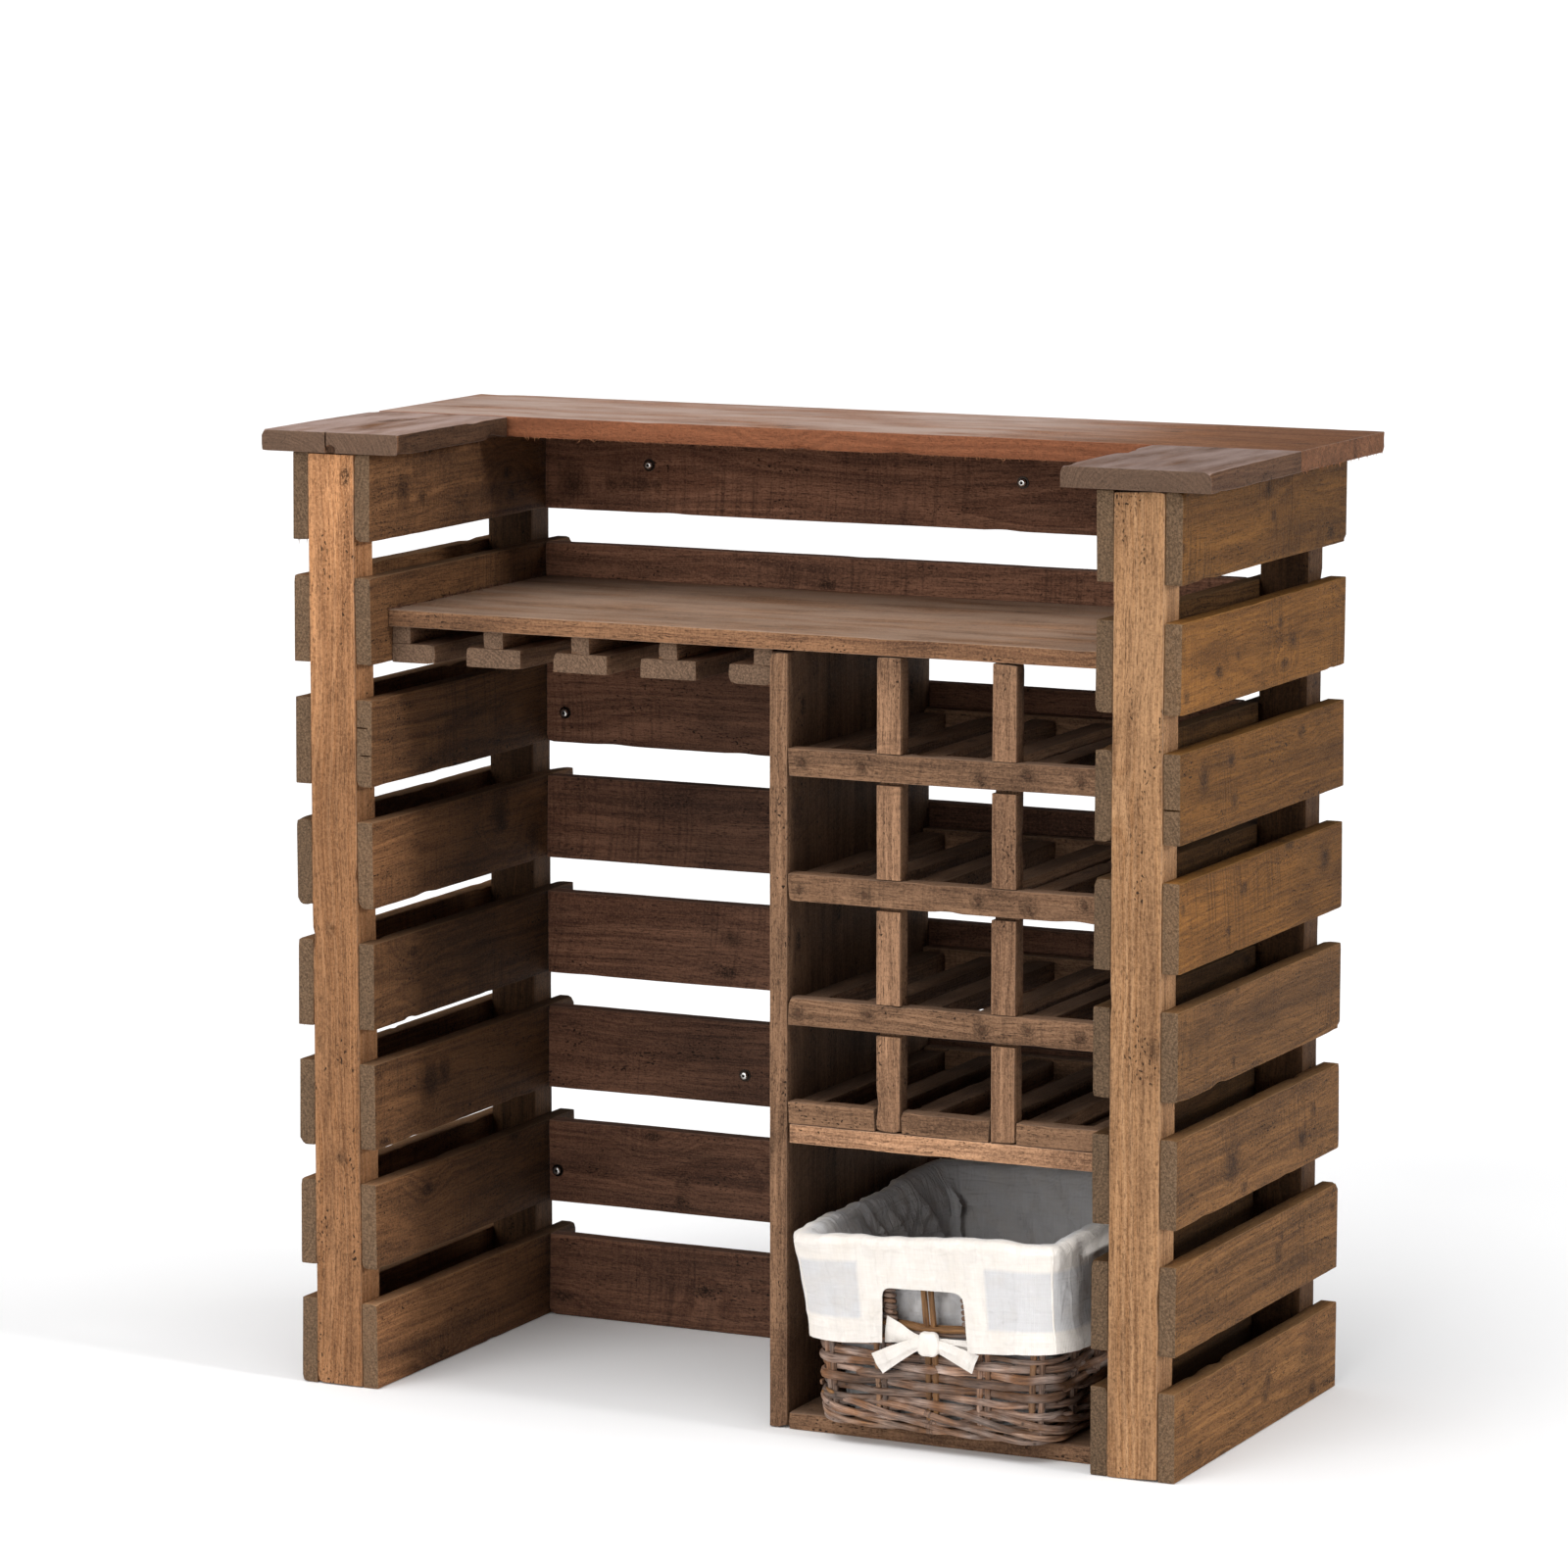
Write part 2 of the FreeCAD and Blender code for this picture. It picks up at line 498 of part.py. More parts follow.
def tub(low, high, offset):
    """The basket's flared form between two heights, offset outwards from the woven wall's outer face."""
    body = doc.addObject("PartDesign::Body", "tub")
    form = body.newObject("PartDesign::AdditiveWedge", "flared_form")
    form.Placement.Rotation = FreeCAD.Rotation(GRAIN["X"], 90)
    form.setExpression("Ymin", low)
    form.setExpression("Ymax", high)
    for ends, height in (("", low), ("2", high)):
        fall = f"(1 - ({height}) / sizes.basket_height)"
        half_width = f"({BASKET_WIDTH} / 2 - sizes.basket_side_flare * {fall} + ({offset}))"
        half_depth = f"({BASKET_DEPTH} / 2 - sizes.basket_end_flare * {fall} + ({offset}))"
        for axis, half in (("X", half_width), ("Z", half_depth)):
            form.setExpression(f"{axis}{ends}min", f"-{half}")
            form.setExpression(f"{axis}{ends}max", half)
    doc.recompute()
    level_faces = [face for face in form.Shape.Faces if abs(face.normalAt(0, 0).z) > PARALLEL]
    level_edges = [edge for face in level_faces for edge in face.Edges]
    corners = []
    for number, edge in enumerate(form.Shape.Edges, start=1):
        if not any(edge.isSame(other) for other in level_edges):
            corners.append(f"Edge{number}")
    rounding = body.newObject("PartDesign::Fillet", "round_corners")
    rounding.Base = (form, corners)
    rounding.setExpression("Radius", f"sizes.basket_corner + ({offset})")
    doc.recompute()
    return body


def cut(base, tool):
    """The base with the tool taken away."""
    result = doc.addObject("Part::Cut", "cut")
    result.Base = base
    result.Tool = tool
    doc.recompute()
    return result


def end_bar(width, low, high):
    """A bar through both ends of the basket, to cut an opening in each."""
    bar = doc.addObject("Part::Box", "end_bar")
    bar.setExpression("Length", width)
    bar.setExpression("Width", f"2 * {BASKET_DEPTH}")
    bar.setExpression("Height", f"({high}) - ({low})")
    place(bar, f"-{width} / 2", f"-{BASKET_DEPTH}", low)
    return bar


RIM = "sizes.basket_height"
GRIP_TOP = f"({RIM} - sizes.grip_drop)"
woven = cut(tub("0", RIM, "0"), tub("sizes.basket_floor", f"{RIM} + {SPARE}", "-sizes.basket_wall"))
basket = cut(woven, end_bar("sizes.grip_width", f"{GRIP_TOP} - sizes.grip_height", GRIP_TOP))
place(basket, *BASKET_PLACE)
node(basket, "basket_body")

# Cotton liner: a fitted bag inside the basket, turned over the rim into a cuff with a notch at each hand hole
LINER_TOP = f"({RIM} + sizes.liner_gap + sizes.liner_thick)"
BAG_OUTSIDE = "-sizes.basket_wall - sizes.liner_gap"
BAG_INSIDE = f"{BAG_OUTSIDE} - sizes.liner_thick"
BAG_BOTTOM = "(sizes.basket_floor + sizes.liner_gap)"
CUFF_BOTTOM = f"({RIM} - sizes.cuff_drop)"
cuff_outside = tub(CUFF_BOTTOM, LINER_TOP, "sizes.liner_gap + sizes.liner_thick")
cuff_inside = tub(f"{CUFF_BOTTOM} - {SPARE}", f"{RIM} + sizes.liner_gap", "sizes.liner_gap")
notch = end_bar("sizes.notch_width", f"{CUFF_BOTTOM} - {SPARE}", f"{RIM} - sizes.notch_drop")
joined = doc.addObject("Part::MultiFuse", "liner")
joined.Shapes = [cut(cut(cuff_outside, cuff_inside), notch), tub(BAG_BOTTOM, LINER_TOP, BAG_OUTSIDE)]
doc.recompute()
bag_inside = tub(f"{BAG_BOTTOM} + sizes.liner_thick", f"{LINER_TOP} + {SPARE}", BAG_INSIDE)
liner = cut(joined, bag_inside)
place(liner, *BASKET_PLACE)
node(liner, "basket_liner")

# Bows: ribbon ties from the notch's two edges, knotted below the hand hole, with two hanging tails
TIE_END = "(sizes.notch_width / 2 - sizes.liner_gap)"
TAIL_TIP = "(sizes.tail_reach - sizes.tail_slant)"
TAIL_LOW = "-(sizes.tail_drop + sizes.bow_ribbon)"
right_half = (
    ("0", "sizes.tie_dip"),
    (TIE_END, "sizes.tie_top"),
    (TIE_END, "-sizes.tie_bottom"),
    ("sizes.fork_reach", "-sizes.fork_drop"),
    ("sizes.tail_reach", "-sizes.tail_drop"),
    (TAIL_TIP, TAIL_LOW),
    ("0", "-sizes.bow_waist"),
)
left_half = tuple((f"-{x}", z) for x, z in reversed(right_half[1:-1]))
bow = doc.addObject("PartDesign::Body", "front_bow")
padded_outline(bow, right_half + left_half, "sizes.bow_thick")
KNOT_SIDE = "sizes.knot_width / 2"
KNOT_TOP = "sizes.knot_height / 2"
knot_outline = []
for x_sign, z_sign in (("-", "-"), ("", "-"), ("", ""), ("-", "")):
    knot_outline.append((f"{x_sign}{KNOT_SIDE}", f"{z_sign}{KNOT_TOP}"))
knot = padded_outline(bow, knot_outline, "sizes.knot_thick")
rounding = bow.newObject("PartDesign::Fillet", "soft_knot")
rounding.Base = (knot, highest_edges(knot.Shape))
rounding.setExpression("Radius", "sizes.knot_round")
doc.recompute()
BOW_HEIGHT = f"({CUFF_BOTTOM} + sizes.bow_rise)"
WALL_LEAN = f"(sizes.basket_end_flare * (1 - {BOW_HEIGHT} / {RIM}))"
WALL_FACE = f"({BASKET_DEPTH} / 2 - {WALL_LEAN})"
CUFF_LEAN = f"(90 + atan(sizes.basket_end_flare / {RIM}) / 1 deg)"
bow.Placement.Rotation = FreeCAD.Rotation(GRAIN["X"], size_of(CUFF_LEAN))
bow.setExpression("Placement.Rotation.Angle", CUFF_LEAN)
bow_y = f"{BASKET_Y} - {WALL_FACE} - sizes.liner_gap"
place(bow, BASKET_X, bow_y, f"sizes.base_thick + {BOW_HEIGHT}")
rear_bow = doc.addObject("Part::Mirroring", "rear_bow")
rear_bow.Source = bow
rear_bow.Normal = GRAIN["Y"]
rear_bow.setExpression("Base.y", BASKET_Y)
doc.recompute()
group("liner_bows", [bow, rear_bow])
doc.recompute()

# Checks before anything is written
for thing in doc.Objects:
    if "Invalid" in thing.State or "Error" in thing.State:
        raise RuntimeError(f"{thing.Label} did not build: {thing.State}")
for thing in nodes:
    if thing.Shape.isNull() or not thing.Shape.isValid() or not thing.Shape.Solids:
        raise RuntimeError(f"{thing.Label} has no valid solid")
os.makedirs("parts", exist_ok=True)
for thing in nodes:
    thing.Shape.exportStep(f"parts/{thing.Label}.step")
print(len(nodes), "nodes,", sum(len(thing.Shape.Solids) for thing in nodes), "solids")
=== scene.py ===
import bmesh
import bpy
import math
import random
import numpy as np
from mathutils import Matrix, Vector, noise


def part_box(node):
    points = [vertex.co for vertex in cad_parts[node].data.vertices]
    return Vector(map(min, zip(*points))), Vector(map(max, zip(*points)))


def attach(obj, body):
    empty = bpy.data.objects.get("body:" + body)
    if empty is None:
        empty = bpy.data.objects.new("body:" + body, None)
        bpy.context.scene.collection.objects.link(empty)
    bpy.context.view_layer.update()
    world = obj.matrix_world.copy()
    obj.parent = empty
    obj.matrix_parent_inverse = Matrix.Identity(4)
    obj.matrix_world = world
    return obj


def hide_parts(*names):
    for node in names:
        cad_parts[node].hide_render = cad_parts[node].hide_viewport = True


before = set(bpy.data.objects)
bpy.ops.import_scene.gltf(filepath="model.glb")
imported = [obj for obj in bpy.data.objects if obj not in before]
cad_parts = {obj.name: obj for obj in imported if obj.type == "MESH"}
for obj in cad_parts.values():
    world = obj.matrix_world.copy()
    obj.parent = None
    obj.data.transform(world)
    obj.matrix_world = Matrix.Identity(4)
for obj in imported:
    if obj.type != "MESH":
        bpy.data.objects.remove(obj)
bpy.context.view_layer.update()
bpy.context.scene.view_settings.view_transform = "Standard"

# Camera
# A long lens far off, a little to the right of the bartender's side and just above the counter.
# Its place comes from the corners of the boards, so the cabinet fills the picture as it should.
CAMERA_PLACE = Vector((2.7566, -5.8360, 1.5912))
CAMERA_AZIMUTH = math.radians(25.63)
CAMERA_ELEVATION = math.radians(8.43)
FOCAL_PIXELS = 6432
PICTURE_PIXELS = 1600
SENSOR_MM = 36
FAR_CLIP = 300
camera = bpy.data.cameras.new("camera")
camera.sensor_width = SENSOR_MM
camera.lens = SENSOR_MM * FOCAL_PIXELS / PICTURE_PIXELS
camera.clip_end = FAR_CLIP
camera_object = bpy.data.objects.new("camera", camera)
bpy.context.scene.collection.objects.link(camera_object)
level = math.cos(CAMERA_ELEVATION)
rise = math.sin(CAMERA_ELEVATION)
back = Vector((math.sin(CAMERA_AZIMUTH) * level, -math.cos(CAMERA_AZIMUTH) * level, rise))
camera_object.location = CAMERA_PLACE
camera_object.rotation_mode = "QUATERNION"
camera_object.rotation_quaternion = (-back).to_track_quat("-Z", "Y")
bpy.context.scene.camera = camera_object


# Studio
# A seamless white floor under large soft lights from the front, above and the right.
# It is only the place where the cabinet stands.
def colour(code):
    """Linear colour of an sRGB hex value."""
    parts = [int(code[n:n + 2], 16) / 255 for n in (1, 3, 5)]
    linear = [p / 12.92 if p <= 0.04045 else ((p + 0.055) / 1.055) ** 2.4 for p in parts]
    return (*linear, 1)


def add(material, kind, settings=(), links=(), out=0):
    """Adds a shader node with its settings and links, and gives one of its outputs."""
    made = material.node_tree.nodes.new("ShaderNode" + kind)
    for key, value in dict(settings).items():
        if isinstance(key, str) and hasattr(made, key):
            setattr(made, key, value)
        else:
            made.inputs[key].default_value = value
    for key, source in dict(links).items():
        material.node_tree.links.new(source, made.inputs[key])
    return made if out is None else made.outputs[out]


def blend(material, share, below, above):
    """One colour laid over another by a share, each an sRGB hex value or a pattern."""
    settings = {"data_type": "RGBA"}
    links = {0: share}
    for socket, shade in ((6, below), (7, above)):
        if isinstance(shade, str):
            settings[socket] = colour(shade)
        else:
            links[socket] = shade
    return add(material, "Mix", settings, links, out=2)


def ranged(material, source, first=0.0, last=1.0, most=1.0, least=0.0):
    """A pattern stretched between two values and clamped."""
    span = {"From Min": first, "From Max": last, "To Min": least, "To Max": most}
    return add(material, "MapRange", span, {"Value": source})


def new_material(name):
    """An empty node material and its surface shader."""
    material = bpy.data.materials.new(name)
    material.use_nodes = True
    material.node_tree.nodes.clear()
    surface = add(material, "BsdfPrincipled")
    add(material, "OutputMaterial", links={"Surface": surface}, out=None)
    return material, surface.node


def join_up(material, shader, **sources):
    """Links finished patterns to the surface shader's sockets."""
    for name, source in sources.items():
        material.node_tree.links.new(source, shader.inputs[name.replace("_", " ")])


FLOOR_SIZE = 240
SKY_STRENGTH = 0.06
# Each light's name, strength, spread in degrees and the way towards it
LAMPS = (
    ("front_softbox", 2.0, 50, Vector((-0.20, -0.93, 0.30))),
    ("high_softbox", 2.5, 60, Vector((-0.05, -0.22, 0.97))),
    ("side_softbox", 1.15, 50, Vector((0.93, 0.24, 0.26))),
    ("side_lamp", 1.1, 7, Vector((0.94, -0.10, 0.30))),
)
bpy.ops.object.select_all(action="DESELECT")
bpy.ops.mesh.primitive_plane_add(size=FLOOR_SIZE, location=(0, 0, 0))
floor = bpy.context.object
floor.name = "studio_floor"
floor_paint, shader = new_material("matt_white_studio_paint")
place = add(floor_paint, "TexCoord", out="Object")
mottle = add(floor_paint, "TexNoise", {"Scale": 3, "Detail": 3}, {"Vector": place})
shader.inputs["Roughness"].default_value = 0.9
join_up(floor_paint, shader, Base_Color=blend(floor_paint, mottle, "#F8F8F9", "#FCFCFC"))
floor.data.materials.append(floor_paint)
world = bpy.data.worlds.new("white_studio")
world.use_nodes = True
world.node_tree.nodes["Background"].inputs["Color"].default_value = colour("#FFFFFF")
world.node_tree.nodes["Background"].inputs["Strength"].default_value = SKY_STRENGTH
bpy.context.scene.world = world
for name, strength, spread, source in LAMPS:
    lamp = bpy.data.lights.new(name, "SUN")
    lamp.energy = strength
    lamp.angle = math.radians(spread)
    lamp_object = bpy.data.objects.new(name, lamp)
    lamp_object.rotation_mode = "QUATERNION"
    lamp_object.rotation_quaternion = (-source).to_track_quat("-Z", "Y")
    bpy.context.scene.collection.objects.link(lamp_object)


# Posts
# Four square timbers that the side slats are nailed to. They are planed hardwood, oiled to a warm
# brown and lighter than the slats, with short dark pores and crisp, rubbed edges.
# The axes, how far a board's edges are eased, and the step of the grid it is cut into
X, Y, Z = 0, 1, 2
ARRIS = 0.0009
GRID_STEP = 0.006


def block(name, low, high):
    """A plain block between two corners."""
    bpy.ops.object.select_all(action="DESELECT")
    bpy.ops.mesh.primitive_cube_add(size=1, location=(low + high) / 2)
    piece = bpy.context.object
    piece.name = name
    piece.scale = high - low
    bpy.ops.object.transform_apply(location=True, rotation=True, scale=True)
    return piece


def select_edges(piece, axis, least):
    """In edit mode, selects the edges that run along an axis and are longer than a length."""
    mesh = bmesh.from_edit_mesh(piece.data)
    for edge in mesh.edges:
        run = edge.verts[1].co - edge.verts[0].co
        edge.select_set(abs(run[axis]) > 0.9 * run.length and run.length > least)
    bmesh.update_edit_mesh(piece.data)


def sawn(name, low, high, step=GRID_STEP):
    """A sawn board between two corners: a block with eased edges, cut into a fine grid for the wear."""
    piece = block(name, low, high)
    size = high - low
    bpy.ops.object.mode_set(mode="EDIT")
    bpy.ops.mesh.select_mode(type="EDGE")
    bpy.ops.mesh.select_all(action="SELECT")
    bpy.ops.mesh.bevel(offset=ARRIS, segments=2, affect="EDGES")
    for axis in (X, Y, Z):
        cuts = round(size[axis] / step) - 1
        if cuts > 0:
            select_edges(piece, axis, size[axis] / 2)
            bpy.ops.mesh.subdivide(number_cuts=cuts)
    bpy.ops.object.mode_set(mode="OBJECT")
    return piece


def points_of(piece):
    """A mesh's points as rows of an array."""
    flat = np.empty(len(piece.data.vertices) * 3, np.float32)
    piece.data.vertices.foreach_get("co", flat)
    return flat.reshape(-1, 3).astype(float)


def move_points(piece, points):
    """Writes moved points back to a mesh."""
    piece.data.vertices.foreach_set("co", points.astype(np.float32).ravel())
    piece.data.update()


def ripple(*columns):
    """Smooth noise from -1 to 1 at each row of up to three columns of numbers."""
    columns = list(columns) + [np.zeros_like(columns[0])] * (3 - len(columns))
    return np.array([noise.noise(row) for row in np.stack(columns, axis=1).tolist()])


def mark(piece, name, values):
    """Keeps one number, or one vector, for each point of a mesh, for its material to read."""
    kind = "FLOAT_VECTOR" if values.ndim == 2 else "FLOAT"
    attribute = piece.data.attributes.new(name, kind, "POINT")
    attribute.data.foreach_set("vector" if values.ndim == 2 else "value", values.astype(np.float32).ravel())


def smooth_fall(distance, reach):
    """One at no distance, falling smoothly to nought at the reach."""
    t = np.clip(1 - distance / reach, 0, 1)
    return t * t * (3 - 2 * t)


# Wear: lengths of the edges' long and fine waves, depth of a skewed end, its raw skin, that skin's roughness
# and the roughness's grain across and through, sizes of the nicks, how softly dust ends where it is swept,
# and how far past its radius a stain fades out
LONG_WAVE = 0.16
FINE_WAVE = 0.024
END_DEEP = 0.02
END_SKIN = 0.0005
END_ROUGH = 0.0004
END_GRAIN = (0.009, 0.006)
NICK_REACH = (0.005, 0.014)
SWEPT_BLEND = 0.4
STAIN_FADE = 1.6


def wear_down(piece, low, high, grain, edge=0.0006, nicks=7, bite=0.0026, tone=0.0, raw=None, stains=(),
              inner=0.0, flank=0.0, swept=2.0):
    """Works a board over as years do: wavy edges, skewed rough ends, nicks and a few knocked corners.

    It also marks each point's place along the grain, the raw sawn ends, the rubbed arrises, the dusty top,
    the tone and the stains, each given as a point and a radius. Tones are spread evenly along the board and
    carry painted light and shade as well as the board's own tone. Inner is how much darker it is behind its
    front, flank the same below its top only, both painted shade, and past the share swept its top is wiped
    clean.
    """
    draw = random.Random(piece.name)
    across, thick = sorted((a for a in (X, Y, Z) if a != grain), key=lambda a: low[a] - high[a])
    points = points_of(piece)
    middle = np.array((low + high) / 2)
    half = np.array((high - low) / 2)
    offset = points - middle
    inside = half - np.abs(offset)
    along = offset[:, grain]
    seed = draw.uniform(0, 900)
    for axis, depth in ((across, edge), (thick, edge / 3)):
        for sign in (-1, 1):
            wave = ripple(along / LONG_WAVE + seed, np.full_like(along, 7.1 * sign + axis))
            fine = ripple(along / FINE_WAVE + seed, np.full_like(along, 3.3 * sign + axis))
            inward = depth * (0.8 + 1.0 * wave + 0.3 * fine)
            share = np.clip(sign * offset[:, axis] / half[axis], 0, 1)
            points[:, axis] -= sign * share * np.clip(inward, 0, None)
    rough = ripple(offset[:, across] / END_GRAIN[0] + seed, offset[:, thick] / END_GRAIN[1])
    for sign in (-1, 1):
        to_end = half[grain] - sign * along
        skew = draw.uniform(-0.5, 0.5) * bite * offset[:, across] / half[across]
        points[:, grain] -= sign * smooth_fall(to_end, END_DEEP) * np.clip(1.3 * edge + skew, 0, None)
        points[:, grain] -= sign * (to_end < END_SKIN) * END_ROUGH * (1 + rough)
    for _ in range(nicks):
        spot = np.zeros(3)
        spot[grain] = draw.uniform(-1, 1) * half[grain]
        signs = draw.choice((-1, 1)), draw.choice((-1, 1))
        spot[across] = signs[0] * half[across]
        spot[thick] = signs[1] * half[thick]
        reach = draw.uniform(*NICK_REACH)
        stretch = np.ones(3)
        stretch[grain] = 0.5
        fall = smooth_fall(np.linalg.norm((offset - spot) * stretch, axis=1), reach)
        depth = draw.uniform(0.2, 1) ** 2 * bite
        points[:, across] -= signs[0] * fall * depth
        points[:, thick] -= signs[1] * fall * depth * 0.6
    for corner in range(8):
        signs = np.array([1 if corner >> n & 1 else -1 for n in range(3)])
        fall = smooth_fall(np.linalg.norm(offset - signs * half, axis=1), 0.4 * half.min())
        points -= fall[:, None] * signs * draw.uniform(0, 1) ** 6 * bite
    move_points(piece, points)
    # Each board is cut from its own place in the log, with the pith 30 to 110 mm beside it
    place = np.stack([along, offset[:, across], offset[:, thick]], axis=1)
    place += np.array([draw.uniform(0, 60), draw.uniform(-0.06, 0.06), draw.uniform(0.03, 0.11)])
    mark(piece, "grain", place)
    sides = raw or ((grain, -1), (grain, 1))
    gaps = [half[axis] - sign * offset[:, axis] for axis, sign in sides]
    mark(piece, "raw_end", np.where(np.min(gaps, axis=0) < ARRIS / 2, 1.0, 0.0))
    mark(piece, "rubbed", np.where(np.sort(inside, axis=1)[:, 1] < ARRIS / 2, 1.0, 0.0))
    stained = np.zeros(len(points))
    for centre, reach in stains:
        distance = np.linalg.norm(offset + middle - np.array(centre), axis=1)
        stained = np.maximum(stained, smooth_fall(distance, STAIN_FADE * reach))
    mark(piece, "stained", stained)
    dusted = np.clip((swept - along / half[grain]) / SWEPT_BLEND, 0.1, 1) * (1 - stained)
    beneath = half[Z] - offset[:, Z] > ARRIS / 2
    mark(piece, "upward", np.where(beneath, 0.0, dusted))
    # The tone mark holds painted light and shade as well as the board's own tone; inner and flank darken the
    # board behind its front and below its top as painted shade
    tones = np.atleast_1d(tone)
    stations = np.linspace(-half[grain], half[grain], len(tones))
    behind = offset[:, Y] + half[Y] > 2 * ARRIS
    mark(piece, "tone", np.interp(along, stations, tones) - behind * (inner + flank * beneath))


def dress(piece, material, body, slot, *nodes):
    """Gives a finished piece its material, shading and body, and hides the nodes that it stands for."""
    piece.data.materials.clear()
    piece.data.materials.append(material)
    bpy.ops.object.select_all(action="DESELECT")
    piece.select_set(True)
    bpy.context.view_layer.objects.active = piece
    bpy.ops.object.shade_smooth_by_angle(angle=math.radians(35))
    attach(piece, body)
    if nodes:
        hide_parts(*nodes)


def cut_away(piece, cutter):
    """Cuts an object out of a piece, and removes that object."""
    cut = piece.modifiers.new("cut", "BOOLEAN")
    cut.object = cutter
    cut.operation = "DIFFERENCE"
    bpy.context.view_layer.objects.active = piece
    bpy.ops.object.modifier_apply(modifier=cut.name)
    bpy.data.objects.remove(cutter)


def crack(piece, middle, half, turn=0.0):
    """Cuts a lens-shaped crack into a piece, with its half sizes in mm and a turn about the upright."""
    bpy.ops.object.select_all(action="DESELECT")
    bpy.ops.mesh.primitive_ico_sphere_add(subdivisions=2, radius=1)
    lens = bpy.context.object
    size = Matrix.Diagonal((*(Vector(half) / 1000), 1))
    lens.data.transform(Matrix.Translation(Vector(middle) / 1000) @ Matrix.Rotation(turn, 4, "Z") @ size)
    cut_away(piece, lens)


def board(node, kind, grain, wood, slot, face=(Z, 1), knots=(), splits=(), step=GRID_STEP, **wear):
    """A worn board in place of a node, with its splits, and its knots on one face.

    The face is an axis and 0 for its low or 1 for its high side. A knot is two places and a radius in mm.
    """
    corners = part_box(node)
    piece = sawn(f"{node}_{kind}", *corners, step)
    for split in splits:
        crack(piece, *split)
    axis, side = face
    stains = []
    for *spot, reach in knots:
        spot = [place / 1000 for place in spot]
        spot.insert(axis, corners[side][axis])
        stains.append((spot, reach / 1000))
    wear_down(piece, *corners, grain, stains=stains, **wear)
    dress(piece, wood, "cabinet", slot, node)


def sawn_wood(name, light, middle, dark, dust, end, saw=0.5, stain=0.6, dusty=0.5, rough=0.5, knotty=0.45):
    """Sawn and oiled hardwood: streaks and pores along the grain, arcs from the saw, stains and knots.

    The eye sees a granular brown with darker patches and specks, dust on top, and dull grey ends.
    """
    material, shader = new_material(name)
    grain = add(material, "Attribute", {"attribute_name": "grain"}, out="Vector")
    marks = ("tone", "rubbed", "upward", "raw_end", "stained")
    marks = [add(material, "Attribute", {"attribute_name": each}, out="Fac") for each in marks]
    tone, rubbed, upward, ends, stained = marks

    def worked(source, first, last, most, least=0.0, on=None):
        """A pattern stretched between two values and clamped, and kept only where another one is."""
        shown = ranged(material, source, first, last, most, least)
        return shown if on is None else add(material, "Math", {"operation": "MULTIPLY"}, {0: on, 1: shown})

    def cloud(place, fine, detail, *span, on=None):
        """Noise with so many lumps to the metre along, across and through, worked like the rest."""
        place = add(material, "Mapping", {"Scale": fine}, {"Vector": place})
        lumps = {"Scale": 1, "Detail": detail, "Roughness": 0.62}
        return worked(add(material, "TexNoise", lumps, {"Vector": place}), *span, on=on)

    # Knots about 25 mm long, one to a patch of about 200 by 110 mm, in some share of the patches
    cells = add(material, "Mapping", {"Scale": (5, 9, 0)}, {"Vector": grain})
    spots = add(material, "TexVoronoi", {"voronoi_dimensions": "2D", "Scale": 1}, {"Vector": cells}, None)
    chance = add(material, "SeparateColor", links={0: spots.outputs["Color"]})
    chance = add(material, "Math", {"operation": "GREATER_THAN", 1: 1 - knotty}, {0: chance})
    knot = worked(spots.outputs["Distance"], 0.075, 0.03, 1.0, on=chance)
    swirl = worked(spots.outputs["Distance"], 0.3, 0.0, 0.012, on=chance)
    # Growth rings about 2.5 mm apart round a pith beside the board, swaying along it and round the knots
    slow = add(material, "Mapping", {"Scale": (2.4, 10, 10)}, {"Vector": grain})
    sway = add(material, "TexNoise", {"Scale": 1, "Detail": 2}, {"Vector": slow}, "Color")
    sway = add(material, "VectorMath", {"operation": "MULTIPLY", 1: (0, 0.03, 0.03)}, {0: sway})
    bent = add(material, "VectorMath", {"operation": "ADD"}, {0: grain, 1: sway})
    flat = add(material, "VectorMath", {"operation": "MULTIPLY", 1: (0, 400, 400)}, {0: bent})
    radius = add(material, "VectorMath", {"operation": "LENGTH"}, {0: flat}, "Value")
    for bulge, width in ((swirl, 400), (stained, 4)):
        radius = add(material, "Math", {"operation": "MULTIPLY_ADD", 1: width}, {0: bulge, 2: radius})
    rings = add(material, "TexNoise", {"noise_dimensions": "1D", "Scale": 1, "Detail": 2}, {"W": radius})
    rings = worked(rings, 0.3, 0.7, 1.0)
    # Saw marks about 4 mm apart, in slight arcs across the board and in patches
    axes = add(material, "SeparateXYZ", links={0: grain}, out=None).outputs
    arc = add(material, "Math", {"operation": "POWER", 1: 2}, {0: axes["Y"]})
    arc = add(material, "Math", {"operation": "MULTIPLY_ADD", 1: 1.2}, {0: arc, 2: axes["X"]})
    arc = add(material, "CombineXYZ", links={0: arc, 1: axes["Y"], 2: axes["Z"]})
    sawn_patch = cloud(grain, (7, 9, 9), 1, 0.40, 0.60, saw)
    teeth = cloud(arc, (270, 9, 9), 1, 0.46, 0.76, 0.9, on=sawn_patch)
    # Fibres, pores, specks that gather in patches, and a fuzz of about 2 mm over everything
    fibres = cloud(bent, (16, 620, 620), 3, 0.50, 0.72, 0.6)
    pores = cloud(bent, (115, 850, 850), 1, 0.60, 0.72, 0.65)
    gathered = cloud(grain, (12, 42, 42), 2, 0.54, 0.64, 1.0)
    specks = cloud(grain, (250, 400, 400), 0, 0.66, 0.74, 0.9, on=gathered)
    fuzz = add(material, "TexNoise", {"Scale": 430, "Detail": 3, "Roughness": 0.7}, {"Vector": grain})
    tint = blend(material, rings, middle, light)
